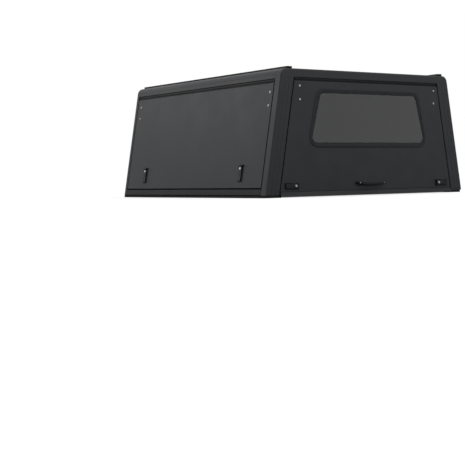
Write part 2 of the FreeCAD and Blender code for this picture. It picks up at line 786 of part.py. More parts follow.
def make_roof_bows():
    """Three channels across the roof, standing on the side headers' ledges."""
    piece = body("roof_bows")
    piece.AllowCompound = True
    reach = half_width(ROOF) - cell("roof_lap")
    foot = SIDE_HEAD + SHEET
    flange = cell("bow_flange")
    width = cell("bow_width")
    deep = ROOF_UNDER - foot
    outlines = []
    for step in (-1, 0, 1):
        middle = REAR + LENGTH / 2 + step * cell("bow_share") * LENGTH
        start = (middle - width / 2 - flange, ROOF_UNDER - SKIN)
        legs = [("E", flange), ("S", deep - SKIN), ("E", width), ("N", deep - SKIN), ("E", flange)]
        outlines.append(folded(start, legs, SKIN))
    pad(piece, "YZ", -reach, 1, reach * 2, outlines)


def make_roof_track(name, side):
    """A slotted track along the edge of the roof."""
    piece = body(name)
    width = cell("track_width")
    wall = cell("track_wall")
    near = cell("roof_corner") * tangent(QUARTER_TURN / 2 - LEAN / 2) + cell("track_inset")
    top = ROOF + cell("track_height")
    lip = (width - cell("track_slot")) / 2
    outline = [
        (near, ROOF),
        (near + width, ROOF),
        (near + width, top),
        (near + width - lip, top),
        (near + width - lip, top - wall),
        (near + width - wall, top - wall),
        (near + width - wall, ROOF + wall),
        (near + wall, ROOF + wall),
        (near + wall, top - wall),
        (near + lip, top - wall),
        (near + lip, top),
        (near, top),
    ]
    points = [(side * (depth - half_width(ROOF)), level) for depth, level in outline]
    start = REAR + cell("track_rear")
    pad(piece, "XZ", start, 1, FRONT - cell("track_front") - start, [points])


# The windows. Each outline grows from the visible glass by a margin.

def window_outline(margin):
    """The window's four corners, moved outwards by a margin."""
    base = BASE + cell("window_base") - margin
    head = REAR_DOOR_TOP - cell("window_drop") + margin
    lower = cell("window_base_half") + margin
    upper = cell("window_head_half") + margin
    return [(-lower, base), (lower, base), (upper, head), (-upper, head)]


def window_pad(piece, at, towards, length, margin):
    """Add a rounded window-shaped slab."""
    corner = cell("window_corner") + margin
    pad(piece, "XZ", at, towards, length, [window_outline(margin)], corner=corner)


def window_pocket(piece, at, towards, length, margin):
    """Cut a rounded window-shaped hole."""
    corner = cell("window_corner") + margin
    pocket(piece, "XZ", at, towards, length, [window_outline(margin)], corner=corner)


def window_hole_margin():
    """How far the hole in the sheet is larger than the visible glass."""
    return cell("glass_lap") + cell("rubber_core")


def make_window(place, at, towards, behind):
    """The glass and its rubber in a sheet whose outer face is at a place along Y."""
    glass = body(place + "_window_glass")
    window_pad(glass, at, towards, cell("glass_thickness"), cell("glass_lap"))
    rubber = body(place + "_window_seal")
    proud = cell("rubber_proud")
    hole = window_hole_margin()
    window_pad(rubber, at - towards * proud, towards, proud, hole + cell("rubber_lap"))
    window_pad(rubber, at, towards, behind, hole)
    window_pocket(rubber, at, towards, behind, cell("glass_lap"))
    window_pocket(rubber, at - towards * proud, towards, proud, ZERO)


# The front wall.

def make_front_panel():
    """The front sheet behind the front posts, with its window hole."""
    piece = body("front_panel")
    edge = cell("front_corner") / cosine(LEAN)
    foot = BASE + SHEET
    head = FRONT_HEAD + cell("panel_lap")
    outline = [
        (edge - half_width(foot), foot),
        (half_width(foot) - edge, foot),
        (half_width(head) - edge, head),
        (edge - half_width(head), head),
    ]
    pad(piece, "XZ", FRONT - SHEET, -1, SKIN, [outline])
    window_pocket(piece, FRONT - SHEET, -1, SKIN, window_hole_margin())
    make_window("front", FRONT - SHEET, -1, cell("glass_thickness"))


# The doors. A door is drawn on its wall: along it, up it and inwards from its outer face.

class Wall:
    """A wall that carries a door, with the plane and direction that its pieces are drawn in."""

    def __init__(self, role, face, inward, side=None):
        self.role = role
        self.face = as_size(face)
        self.inward = inward
        self.side = side

    def body(self, name):
        """A new piece that stands on this wall."""
        piece = body(name)
        if self.side is not None:
            lean_over(piece, self.side)
        return piece

    def depth(self, depth):
        """The place across the wall of a depth behind its outer face."""
        return self.face + self.inward * as_size(depth)

    def pad(self, piece, start, end, outlines=(), circles=()):
        """Add a prism between two depths."""
        pad(piece, self.role, self.depth(start), self.inward, end - start, outlines, circles)

    def pocket(self, piece, start, end, outlines=(), circles=()):
        """Cut a prism between two depths."""
        pocket(piece, self.role, self.depth(start), self.inward, end - start, outlines, circles)


class Latch:
    """Where a latch lies: its middle, and the step along the wall towards its pivot end."""

    def __init__(self, wall, along, up, step):
        self.wall = wall
        self.along = as_size(along)
        self.up = as_size(up)
        self.step = step

    def place(self, towards, across_it):
        """A point on the wall, by its distances towards the pivot end and across the latch."""
        if self.step == (0, 1):
            return (self.along + across_it, self.up + towards)
        return (self.along + self.step[0] * towards, self.up + across_it)

    def outline(self, low, high, half):
        """A rectangle along the latch, with a half width."""
        corners = [(low, -half), (high, -half), (high, half), (low, half)]
        return [self.place(towards, across_it) for towards, across_it in corners]

    def profile(self, towards, depth):
        """A point in the plane across the pivot pin."""
        if self.step == (0, 1):
            return (self.wall.depth(depth), self.up + towards)
        return (self.along + self.step[0] * towards, self.wall.depth(depth))

    def slice(self, piece, low, high, outlines=(), circles=(), cut=False):
        """Add or cut a prism along the pivot pin's direction."""
        role, middle = ("XZ", self.along) if self.step == (0, 1) else ("XY", self.up)
        make = pocket if cut else pad
        make(piece, role, middle + low, 1, high - low, outlines, circles)


def pivot_place():
    """The pivot pin's distance from the latch's middle, and its depth in front of the skin."""
    radius = cell("paddle_thickness") / 2
    towards = cell("latch_length") / 2 - cell("paddle_margin") - radius
    return towards, -(cell("latch_plate") + cell("paddle_lift") + radius)


def add_latch(piece, latch):
    """A latch: plate, box through the skin, two pivot ears and the pin between them."""
    half = cell("latch_length") / 2
    plate = cell("latch_plate")
    latch.wall.pad(piece, -plate, ZERO, [latch.outline(-half, half, cell("latch_width") / 2)])
    box_half = cell("latch_box_length") / 2
    box = latch.outline(-box_half, box_half, cell("latch_box_width") / 2)
    latch.wall.pad(piece, ZERO, SKIN + cell("latch_box_depth"), [box])
    towards, depth = pivot_place()
    radius = cell("paddle_thickness") / 2
    inner = cell("paddle_width") / 2 + cell("ear_gap")
    outer = inner + cell("ear_thickness")
    ear = [
        latch.profile(towards - radius, -plate),
        latch.profile(towards + radius, -plate),
        latch.profile(towards + radius, depth - radius),
        latch.profile(towards - radius, depth - radius),
    ]
    latch.slice(piece, inner, outer, [ear])
    latch.slice(piece, -outer, -inner, [ear])
    latch.slice(piece, -outer, outer, circles=[(latch.profile(towards, depth), cell("pin_radius"))])


def make_paddle(name, latch):
    """A latch's paddle: a bar with a knuckle on the pivot pin and a lock barrel."""
    piece = latch.wall.body(name)
    towards, depth = pivot_place()
    radius = cell("paddle_thickness") / 2
    half = cell("paddle_width") / 2
    tip = cell("paddle_margin") - cell("latch_length") / 2
    bar = [
        latch.profile(tip, depth - radius),
        latch.profile(towards, depth - radius),
        latch.profile(towards, depth + radius),
        latch.profile(tip, depth + radius),
    ]
    latch.slice(piece, -half, half, [bar])
    knuckle = latch.profile(towards, depth)
    latch.slice(piece, -half, half, circles=[(knuckle, radius)])
    lock = latch.place(cell("latch_length") / 2 - cell("lock_offset"), ZERO)
    proud = depth - radius - cell("lock_proud")
    latch.wall.pad(piece, proud, depth, circles=[(lock, cell("lock_radius"))])
    latch.slice(piece, -half, half, circles=[(knuckle, cell("pin_radius") + cell("pin_play"))], cut=True)


def round_face(piece, radius, wall):
    """Round a door's slab along the edges of its outer face."""
    axis = {"YZ": 0, "XZ": 1}[wall.role]
    names = []
    for number, edge in enumerate(piece.Shape.Edges, start=1):
        local = [piece.Placement.inverse().multVec(vertex.Point) for vertex in edge.Vertexes]
        if all(abs(end[axis] - wall.face.value) < NEAR for end in local):
            names.append(f"Edge{number}")
    return add_fillet(piece, as_size(radius), names)


def make_door(name, wall, outline, hollow, latches):
    """A door's folded skin, pierced for its latches, and the liner inside it."""
    skin = wall.body(name + "_panel")
    wall.pad(skin, ZERO, DEPTH, [outline])
    round_face(skin, cell("door_fold"), wall)
    wall.pocket(skin, SKIN, DEPTH, [hollow])
    box_half = cell("latch_box_length") / 2
    boxes = [latch.outline(-box_half, box_half, cell("latch_box_width") / 2) for latch in latches]
    wall.pocket(skin, ZERO, SKIN, boxes)
    liner = wall.body(name + "_liner")
    wall.pad(liner, DEPTH - SKIN, DEPTH, [hollow])
    hardware = wall.body(name + "_latches")
    hardware.AllowCompound = True
    for latch in latches:
        add_latch(hardware, latch)
    return skin, liner


def make_side_door(hand, side):
    """A side door with its hinge, two latches with paddles and the rubber behind it."""
    wall = Wall("YZ", ZERO, side, side)
    name = hand + "_door"
    outline = box_outline((DOOR_BACK, SIDE_DOOR_FOOT), (DOOR_FRONT, SIDE_DOOR_TOP))
    hollow = box_outline(
        (DOOR_BACK + SKIN, SIDE_DOOR_FOOT + SKIN), (DOOR_FRONT - SKIN, SIDE_DOOR_TOP - SKIN)
    )
    up = SIDE_DOOR_FOOT + cell("side_latch_rise")
    inset = cell("side_latch_inset")
    latches = [Latch(wall, DOOR_BACK + inset, up, (0, 1)), Latch(wall, DOOR_FRONT - inset, up, (0, 1))]
    make_door(name, wall, outline, hollow, latches)
    make_paddle(name + "_paddle_rear", latches[0])
    make_paddle(name + "_paddle_front", latches[1])
    make_side_hinge(hand, side)
    rubber = wall.body(name + "_rubber")
    strip = cell("strip_width")
    inside = box_outline(
        (DOOR_BACK + strip, SIDE_DOOR_FOOT + strip), (DOOR_FRONT - strip, SIDE_DOOR_TOP - strip)
    )
    wall.pad(rubber, DEPTH + cell("strip_play"), JAMB * cosine(LEAN), [outline, inside])


def make_side_hinge(hand, side):
    """The hinge rod along a side door's top edge, on a web and a leaf."""
    piece = body(hand + "_door_hinge")
    lean_over(piece, side)
    depth = cell("hinge_depth")
    web = cell("hinge_web") / 2
    length = DOOR_FRONT - DOOR_BACK
    top = SIDE_DOOR_TOP
    axis = top + cell("hinge_rise")
    leaf = box_outline((side * SKIN, top), (side * (DEPTH - SKIN), top + cell("hinge_leaf")))
    pad(piece, "XZ", DOOR_BACK, 1, length, [leaf])
    stem = box_outline((side * (depth - web), top), (side * (depth + web), axis))
    pad(piece, "XZ", DOOR_BACK, 1, length, [stem])
    pad(piece, "XZ", DOOR_BACK, 1, length, circles=[((side * depth, axis), cell("hinge_rod"))])


def make_rear_hinge():
    """The hinge rod along the rear door's top edge, on a web and a leaf."""
    piece = body("rear_door_hinge")
    web = cell("hinge_web") / 2
    middle = REAR + cell("hinge_depth")
    top = REAR_DOOR_TOP
    axis = top + cell("hinge_rise")
    run = rear_hinge_run()
    leaf = box_outline((REAR + SKIN, top), (REAR + DEPTH - SKIN, top + cell("hinge_leaf")))
    pad(piece, "YZ", -run, 1, run * 2, [leaf])
    pad(piece, "YZ", -run, 1, run * 2, [box_outline((middle - web, top), (middle + web, axis))])
    pad(piece, "YZ", -run, 1, run * 2, circles=[((middle, axis), cell("hinge_rod"))])


def make_rear_door():
    """The rear door with its window, hinge, skirt, latches, pull handle and rubber."""
    wall = Wall("XZ", REAR, 1)
    edge = cell("rear_post_back") + GAP
    outline = trapezoid(edge, REAR_DOOR_FOOT, REAR_DOOR_TOP)
    hollow = trapezoid(edge + LEVEL_SKIN, REAR_DOOR_FOOT + SKIN, REAR_DOOR_TOP - SKIN)
    up = REAR_DOOR_FOOT + cell("rear_latch_rise")
    out = half_width(up) - edge - cell("rear_latch_inset")
    latches = [Latch(wall, -out, up, (1, 0)), Latch(wall, out, up, (-1, 0))]
    skin, liner = make_door("rear_door", wall, outline, hollow, latches)
    window_pocket(skin, REAR, 1, SKIN, window_hole_margin())
    window_pocket(liner, REAR + DEPTH - SKIN, 1, SKIN, window_hole_margin() + cell("reveal_step"))
    make_reveal(liner)
    make_window("rear", REAR, 1, cell("glass_thickness"))
    make_paddle("rear_door_paddle_left", latches[0])
    make_paddle("rear_door_paddle_right", latches[1])
    make_rear_hinge()
    make_skirt(edge)
    make_pull_handle()
    make_rear_rubber(outline, edge)


def make_reveal(liner):
    """The liner's wall round the window, from the liner to the skin."""
    hole = window_hole_margin() + cell("reveal_step")
    window_pad(liner, REAR + SKIN, 1, DEPTH - SKIN, hole + SKIN)
    window_pocket(liner, REAR + SKIN, 1, DEPTH - SKIN, hole)


def make_skirt(edge):
    """The rear door's skirt: a strip under the door that kicks out over the tailgate's top."""
    piece = body("rear_door_skirt")
    drop = cell("skirt_drop")
    kick = cell("skirt_kick")
    fall = drop + cell("rear_door_foot")
    slope = turn_of(kick, fall)
    shift = SKIN * tangent(slope)
    wall_step = SKIN / cosine(slope)
    outline = [
        (REAR + DEPTH, REAR_DOOR_FOOT),
        (REAR, REAR_DOOR_FOOT),
        (REAR - kick, BASE - drop),
        (REAR - kick + wall_step, BASE - drop),
        (REAR - shift + wall_step, REAR_DOOR_FOOT - SKIN),
        (REAR + DEPTH, REAR_DOOR_FOOT - SKIN),
    ]
    reach = half_width(REAR_DOOR_FOOT) - edge
    pad(piece, "YZ", -reach, 1, reach * 2, [outline])


def make_pull_handle():
    """The rear door's pull handle: a grip that stands off the skin on two feet."""
    piece = body("rear_pull_handle")
    half = cell("grab_length") / 2
    reach = cell("rear_reach")
    slope = reach / 2
    inner = half - cell("grab_foot")
    outline = [
        (-half, REAR),
        (slope - half, REAR - reach),
        (half - slope, REAR - reach),
        (half, REAR),
        (inner, REAR),
        (inner - slope / 2, REAR - reach + cell("grab_grip")),
        (slope / 2 - inner, REAR - reach + cell("grab_grip")),
        (-inner, REAR),
    ]
    foot = REAR_DOOR_FOOT + cell("grab_rise") - cell("grab_width") / 2
    pad(piece, "XY", foot, 1, cell("grab_width"), [outline])
    below = foot - SHEET
    tips = []
    for _, sign in SIDES:
        end = sign * (half + SHEET)
        tips.append([
            (sign * (half - cell("grab_taper")), foot),
            (sign * half, foot + cell("grab_taper_rise")),
            (end, foot + cell("grab_taper_rise")),
            (end, below),
            (sign * (half - cell("grab_taper")), below),
        ])
    pocket(piece, "XZ", REAR - reach, 1, reach, tips)


def make_rear_rubber(outline, edge):
    """The rubber behind the rear door's sides and top."""
    piece = body("rear_door_rubber")
    strip = cell("strip_width")
    inside = trapezoid(edge + strip / cosine(LEAN), REAR_DOOR_FOOT, REAR_DOOR_TOP - strip)
    hoop = [outline[0], inside[0], inside[3], inside[2], inside[1], outline[1], outline[2], outline[3]]
    start = REAR + DEPTH + cell("strip_play")
    pad(piece, "XZ", start, 1, REAR + JAMB - start, [hoop])


def trapezoid(edge, foot, head):
    """An outline between two levels, each end at a depth behind the leaning outer faces."""
    return [
        (edge - half_width(foot), foot),
        (half_width(foot) - edge, foot),
        (half_width(head) - edge, head),
        (edge - half_width(head), head),
    ]


def build():
    """Make every piece of the canopy."""
    make_base_seal()
    make_front_rail()
    for hand, side in SIDES:
        make_side_rail("base_rail_" + hand, side)
        make_rear_post("rear_post_" + hand, side)
        make_front_post("front_post_" + hand, side)
        make_side_header("header_" + hand, side)
        make_roof_track("roof_track_" + hand, side)
    make_rear_header()
    depth = cell("front_post_side")
    make_end_header("front_header", FRONT, -1, FRONT_HEAD, depth, cell("front_corner"))
    make_roof_sheet()
    make_roof_bows()
    make_front_panel()
    for hand, side in SIDES:
        make_side_door(hand, side)
    make_rear_door()


def check_and_write():
    """Stop at a failed feature or a bad shape, then write each piece to its own file."""
    doc.recompute()
    for thing in doc.Objects:
        if "Invalid" in thing.State or "Error" in thing.State:
            raise ValueError(f"{thing.Name} failed: {thing.State}")
    for piece in finished:
        if piece.Shape.isNull() or not piece.Shape.isValid():
            raise ValueError(f"{piece.Name} has no valid shape")
    os.makedirs("parts", exist_ok=True)
    for piece in finished:
        piece.Shape.exportStep(os.path.join("parts", piece.Label + ".step"))


build()
check_and_write()
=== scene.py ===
"""Looks of a pickup truck canopy: powder-coated sheet, dark glass, rubber, latches and a plain studio.

Lengths are in metres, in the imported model's own frame: +X is the vehicle's right, +Y is forwards, +Z is up.
A wall's own directions are along it, up it and out of it, and a place on a wall is given by those three.
"""

import json
import logging
import math
from dataclasses import dataclass
from enum import Enum

import bmesh
import bpy
import numpy as np
from mathutils import Matrix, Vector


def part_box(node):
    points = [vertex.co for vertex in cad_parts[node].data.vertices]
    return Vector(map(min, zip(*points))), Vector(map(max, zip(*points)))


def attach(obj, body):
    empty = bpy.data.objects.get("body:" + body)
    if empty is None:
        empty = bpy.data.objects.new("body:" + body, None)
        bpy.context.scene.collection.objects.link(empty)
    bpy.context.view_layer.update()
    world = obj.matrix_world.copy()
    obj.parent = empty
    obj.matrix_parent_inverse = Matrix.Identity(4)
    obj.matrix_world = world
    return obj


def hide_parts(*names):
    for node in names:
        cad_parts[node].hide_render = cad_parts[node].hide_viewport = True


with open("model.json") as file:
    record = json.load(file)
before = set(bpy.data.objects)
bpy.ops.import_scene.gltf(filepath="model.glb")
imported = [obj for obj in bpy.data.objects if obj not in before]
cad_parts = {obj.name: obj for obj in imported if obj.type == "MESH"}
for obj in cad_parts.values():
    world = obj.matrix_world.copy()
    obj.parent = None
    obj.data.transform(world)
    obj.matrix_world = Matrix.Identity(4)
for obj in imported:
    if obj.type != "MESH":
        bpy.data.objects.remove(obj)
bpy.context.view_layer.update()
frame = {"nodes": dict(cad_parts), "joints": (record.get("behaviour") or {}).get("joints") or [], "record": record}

LOG = logging.getLogger("canopy")
MM = 0.001
Array = np.ndarray
Pair = tuple[float, float]
Triple = tuple[float, float, float]

# The canopy's own shape.
LEAN = math.radians(10.2)
HALF_BASE = 810 * MM
BASE = 15 * MM
REAR = -816 * MM
FRONT = 844 * MM
FRONT_SHEET = 841 * MM
DOOR_BACK = -757 * MM
DOOR_FRONT = 791 * MM

# How meshes are merged, rounded, shaded and eased.
MERGE_NEW = 0.002 * MM
MERGE_COPY = 0.02 * MM
LEAST_BEND = 0.1 * MM
FLAT_ANGLE = math.radians(0.3)
SHARP_COPY = math.radians(35)
EASED_ANGLE = math.radians(30)
SHARP_NEW = 38.0
SHARP_MOULDED = 60.0

# The middle of a noise's values, which finishes spread over their ranges.
NOISE_MIDDLE: Pair = (0.35, 0.65)


class Hand(Enum):
    """The two sides of the canopy, with the sign of X on each."""

    LEFT = -1.0
    RIGHT = 1.0

    @property
    def word(self) -> str:
        """The side's name as the nodes spell it."""
        return self.name.lower()


class Slot(Enum):
    """The record's material slots."""

    COAT = "powder_coat"
    TRACK = "track_black"
    LATCH = "latch_black"
    RUBBER = "rubber"
    GLASS = "glass"


def half_width(level: float) -> float:
    """Half the canopy's outer width at a height: the base's half width less the lean's run up to there."""
    return HALF_BASE - math.tan(LEAN) * (level - BASE)


def grid_of(*parts: Array) -> Array:
    """Points from their coordinates: arrays brought to one shape and stacked on a new last axis."""
    return np.stack(np.broadcast_arrays(*parts), axis=-1)


@dataclass(frozen=True)
class Wall:
    """A flat wall, by a point on its outer face and its directions along, up and out."""

    origin: Triple
    along: Triple
    up: Triple
    out: Triple

    def place(self, along: Array, up: Array, out: Array) -> Array:
        """Points in the model: the origin plus each distance times its direction."""
        return np.array(self.origin) + grid_of(along, up, out) @ np.array([self.along, self.up, self.out])

    def measure(self, points: Array) -> Array:
        """Distances along, up and out: the points' offsets from the origin dotted with each direction."""
        return (np.asarray(points) - self.origin) @ np.array([self.along, self.up, self.out]).T


def side_wall(hand: Hand) -> Wall:
    """The leaning side wall of a hand, measured from its foot at the base rails."""
    sine, cosine = math.sin(LEAN), math.cos(LEAN)
    return Wall(
        (hand.value * HALF_BASE, 0.0, BASE), (0.0, 1.0, 0.0),
        (-hand.value * sine, 0.0, cosine), (hand.value * cosine, 0.0, sine),
    )


REAR_WALL = Wall((0.0, REAR, 0.0), (1.0, 0.0, 0.0), (0.0, 0.0, 1.0), (0.0, -1.0, 0.0))
FRONT_WALL = Wall((0.0, FRONT_SHEET, 0.0), (1.0, 0.0, 0.0), (0.0, 0.0, 1.0), (0.0, 1.0, 0.0))


# Finishes


class Nodes:
    """A material's or a world's node tree, with short calls for making and joining its nodes."""

    def __init__(self, owner: bpy.types.Material | bpy.types.World) -> None:
        """Start an empty tree with an output.

        Args:
            owner: the material or the world.
        """
        owner.use_nodes = True
        self.owner = owner
        self.tree = owner.node_tree
        self.tree.nodes.clear()
        self.output = self.add("OutputWorld" if isinstance(owner, bpy.types.World) else "OutputMaterial")

    def add(self, kind: str, **values: object) -> bpy.types.Node:
        """Add a node.

        Args:
            kind: the node's type without its ShaderNode prefix.
            **values: properties of the node, or values of its inputs with underscores for spaces.

        Returns:
            The new node.
        """
        node = self.tree.nodes.new("ShaderNode" + kind)
        for name, value in values.items():
            if hasattr(node, name):
                setattr(node, name, value)
            else:
                node.inputs[name.replace("_", " ")].default_value = value
        return node

    def join(self, source: bpy.types.NodeSocket, target: bpy.types.NodeSocket) -> None:
        """Link an output to an input."""
        self.tree.links.new(source, target)

    def principled(self, **values: object) -> bpy.types.Node:
        """A principled shader on the output, with constants on its own sockets."""
        shader = self.add("BsdfPrincipled", **values)
        self.join(shader.outputs["BSDF"], self.output.inputs["Surface"])
        return shader

    def object_noise(self, scale: float, detail: float, roughness: float = 0.5) -> bpy.types.NodeSocket:
        """A noise over the piece's own coordinates.

        Args:
            scale: cells in a metre.
            detail: octaves of the noise.
            roughness: weight of the finer octaves.

        Returns:
            The noise's value.
        """
        place = self.add("TexCoord")
        noise = self.add("TexNoise", Scale=scale, Detail=detail, Roughness=roughness)
        self.join(place.outputs["Object"], noise.inputs["Vector"])
        return noise.outputs[0]

    def spread(self, source: bpy.types.NodeSocket, low: float, high: float) -> bpy.types.NodeSocket:
        """Map the middle of a noise's values onto a range.

        Args:
            source: the noise's value.
            low: the result at and below that middle's lower end.
            high: the result at and above its upper end.

        Returns:
            The mapped value.
        """
        ramp = self.add("MapRange")
        for number, value in enumerate((*NOISE_MIDDLE, low, high), start=1):
            ramp.inputs[number].default_value = value
        self.join(source, ramp.inputs[0])
        return ramp.outputs[0]

    def tint(self, factor: bpy.types.NodeSocket, dark: Array, light: Array) -> bpy.types.NodeSocket:
        """A colour between two.

        Args:
            factor: 0 for the dark colour, 1 for the light one.
            dark: linear red, green and blue.
            light: linear red, green and blue.

        Returns:
            The colour.
        """
        mix = self.add("Mix", data_type="RGBA")
        mix.inputs[6].default_value = (*dark, 1.0)
        mix.inputs[7].default_value = (*light, 1.0)
        self.join(factor, mix.inputs[0])
        return mix.outputs[2]

    def bump(self, heights: bpy.types.NodeSocket, strength: float, depth: float) -> bpy.types.NodeSocket:
        """A bumped normal.

        Args:
            heights: a height of 0 to 1.
            strength: share of the bump that shows.
            depth: depth of the bump.

        Returns:
            The normal.
        """
        node = self.add("Bump", Strength=strength, Distance=depth)
        self.join(heights, node.inputs["Height"])
        return node.outputs["Normal"]

    def show_by_ray(self, plain: bpy.types.Node, seen: bpy.types.Node, *rays: str) -> None:
        """Put one shader on the output for some rays and another for the rest.

        Args:
            plain: the shader for the rest.
            seen: the shader for the named rays.
            *rays: kinds of ray, such as Camera.
        """
        path = self.add("LightPath")
        flag = path.outputs[f"Is {rays[0]} Ray"]
        for ray in rays[1:]:
            either = self.add("Math", operation="MAXIMUM")
            self.join(flag, either.inputs[0])
            self.join(path.outputs[f"Is {ray} Ray"], either.inputs[1])
            flag = either.outputs[0]
        mix = self.add("MixShader")
        for socket, source in enumerate((flag, plain.outputs[0], seen.outputs[0])):
            self.join(source, mix.inputs[socket])
        self.join(mix.outputs[0], self.output.inputs["Surface"])


@dataclass(frozen=True)
class GrainedFinish:
    """An opaque finish with faint cloudiness and a fine grain.

    A coarse noise, given by its scale, detail and roughness, moves the colour between two shares of itself
    and the roughness between two steps from its middle. A fine noise, given by its scale and detail, bumps
    the normal.
    """

    name: str
    colour: Triple
    roughness: float
    specular: float
    clouds: Triple
    tones: Pair
    gloss: Pair
    grain: Pair
    strength: float
    depth: float
    metallic: float = 0.0

    def make(self) -> bpy.types.Material:
        """Make the material."""
        nodes = Nodes(bpy.data.materials.new(self.name))
        colour = np.array(self.colour)
        clouds = nodes.object_noise(*self.clouds)
        grain = nodes.object_noise(*self.grain)
        shader = nodes.principled(Specular_IOR_Level=self.specular, Metallic=self.metallic)
        tone = nodes.tint(nodes.spread(clouds, 0.0, 1.0), colour * self.tones[0], colour * self.tones[1])
        nodes.join(tone, shader.inputs["Base Color"])
        gloss = nodes.spread(clouds, self.roughness + self.gloss[0], self.roughness + self.gloss[1])
        nodes.join(gloss, shader.inputs["Roughness"])
        nodes.join(nodes.bump(grain, self.strength, self.depth), shader.inputs["Normal"])
        return nodes.owner


@dataclass(frozen=True)
class TexturedCoat(GrainedFinish):
    """A satin powder coat with a fine pebbled texture."""

    clouds: Triple = (6.0, 4.0, 0.6)
    tones: Pair = (0.88, 1.12)
    gloss: Pair = (-0.025, 0.025)
    grain: Pair = (900.0, 2.0)
    strength: float = 0.45
    depth: float = 0.10 * MM


@dataclass(frozen=True)
class WeatherRubber(GrainedFinish):
    """Matte black rubber with a faint bloom and a fine grain."""

    name: str = "weather_rubber"
    colour: Triple = (0.0235, 0.0245, 0.0270)
    roughness: float = 0.66
    specular: float = 0.25
    clouds: Triple = (38.0, 5.0, 0.65)
    tones: Pair = (0.8, 1.4)
    gloss: Pair = (-0.07, 0.07)
    grain: Pair = (2400.0, 1.0)
    strength: float = 0.35
    depth: float = 0.05 * MM


@dataclass(frozen=True)
class BrightMetal(GrainedFinish):
    """Turned and plated metal with a faint haze and fine scratches."""

    name: str = "bright_metal"
    colour: Triple = (0.57, 0.57, 0.57)
    roughness: float = 0.27
    specular: float = 0.5
    metallic: float = 1.0
    clouds: Triple = (260.0, 4.0, 0.5)
    tones: Pair = (0.88, 1.05)
    gloss: Pair = (-0.05, 0.08)
    grain: Pair = (5200.0, 1.0)
    strength: float = 0.2
    depth: float = 0.01 * MM


@dataclass(frozen=True)
class TintedGlass:
    """Dark tinted safety glass with faint smears, whose outer film reflects more than plain glass."""

    name: str = "tinted_glass"
    colour: Triple = (0.115, 0.125, 0.14)
    bending: float = 1.5
    film: float = 0.30
    film_roughness: float = 0.02
    smears: Triple = (5.0, 6.0, 0.7)
    roughness: Pair = (0.012, 0.04)

    def make(self) -> bpy.types.Material:
        """Make the material."""
        nodes = Nodes(bpy.data.materials.new(self.name))
        smears = nodes.object_noise(*self.smears)
        shader = nodes.principled(
            IOR=self.bending, Transmission_Weight=1.0, Base_Color=(*self.colour, 1.0),
            Coat_Weight=self.film, Coat_Roughness=self.film_roughness,
        )
        nodes.join(nodes.spread(smears, *self.roughness), shader.inputs["Roughness"])
        return nodes.owner


@dataclass(frozen=True)
class PaleFloor:
    """A pale floor that the camera and clear glass see as white, with the shadow kept."""

    name: str = "pale_floor"
    plain: float = 0.22
    shown: float = 0.80
    lift: float = 0.58

    def make(self) -> bpy.types.Material:
        """Make the material."""
        nodes = Nodes(bpy.data.materials.new(self.name))
        plain, shown = (
            nodes.add("BsdfDiffuse", Color=(grey, grey, grey, 1.0)) for grey in (self.plain, self.shown)
        )
        glow = nodes.add("Emission", Strength=self.lift)
        bright = nodes.add("AddShader")
        nodes.join(shown.outputs[0], bright.inputs[0])
        nodes.join(glow.outputs[0], bright.inputs[1])
        nodes.show_by_ray(plain, bright, "Camera", "Transmission")
        return nodes.owner


class Finishes:
    """Every finish of the canopy and its floor, made once."""

    def __init__(self) -> None:
        """Make the materials."""
        self.coat = TexturedCoat("powder_coat", (0.0275, 0.0292, 0.0335), 0.46, 0.30).make()
        # Painted shade: a darker copy of the powder coat for the base rails and door skirts, standing in for the
        # shade they lie in low down.
        self.low_coat = TexturedCoat("low_coat", (0.0125, 0.0134, 0.0155), 0.50, 0.21).make()
        # Painted shade: a darker copy of the coat for the hinges and the recess strips under the headers, standing
        # in for the shadow under the headers.
        self.hinge = TexturedCoat(
            "hinge_coat", (0.0125, 0.0132, 0.0150), 0.50, 0.22, grain=(1200.0, 2.0), depth=0.05 * MM,
        ).make()
        self.track = TexturedCoat(
            "track_coat", (0.003, 0.003, 0.0032), 0.40, 0.16, grain=(700.0, 2.0), depth=0.04 * MM,
        ).make()
        self.latch = TexturedCoat(
            "latch_coat", (0.0125, 0.0131, 0.0146), 0.44, 0.24, grain=(1500.0, 2.0), depth=0.05 * MM,
        ).make()
        self.rubber = WeatherRubber().make()
        self.glass = TintedGlass().make()
        self.metal = BrightMetal().make()
        self.floor = PaleFloor().make()


# Meshes


def rounded_rectangles(long: float, wide: float, radius: float, profile: Array, steps: int = 7) -> Array:
    """Rows of points round a rectangle with rounded corners, one row for each step of a profile.

    Row k's rectangle is smaller all round by the profile's inset. Each corner's arc keeps its centre, so
    its radius is the radius less the inset, and a point is that centre plus the radius times the cosine
    and sine of an angle that turns through a quarter circle in each corner.

    Args:
        long: half the rectangle's length.
        wide: half its width.
        radius: its corners' radius.
        profile: rows of inset and height.
        steps: points in a corner.

    Returns:
        Points along, across and high, with a row for each step of the profile.
    """
    inset, height = profile[:, :1], profile[:, 1:]
    angle = (np.arange(4)[:, None] * math.pi / 2 + np.linspace(0, math.pi / 2, steps)).ravel()
    sign = np.repeat([[1, 1], [-1, 1], [-1, -1], [1, -1]], steps, axis=0).T
    bend = np.maximum(radius - inset, LEAST_BEND)
    first = sign[0] * (long - inset - bend) + bend * np.cos(angle)
    second = sign[1] * (wide - inset - bend) + bend * np.sin(angle)
    return grid_of(first, second, height)


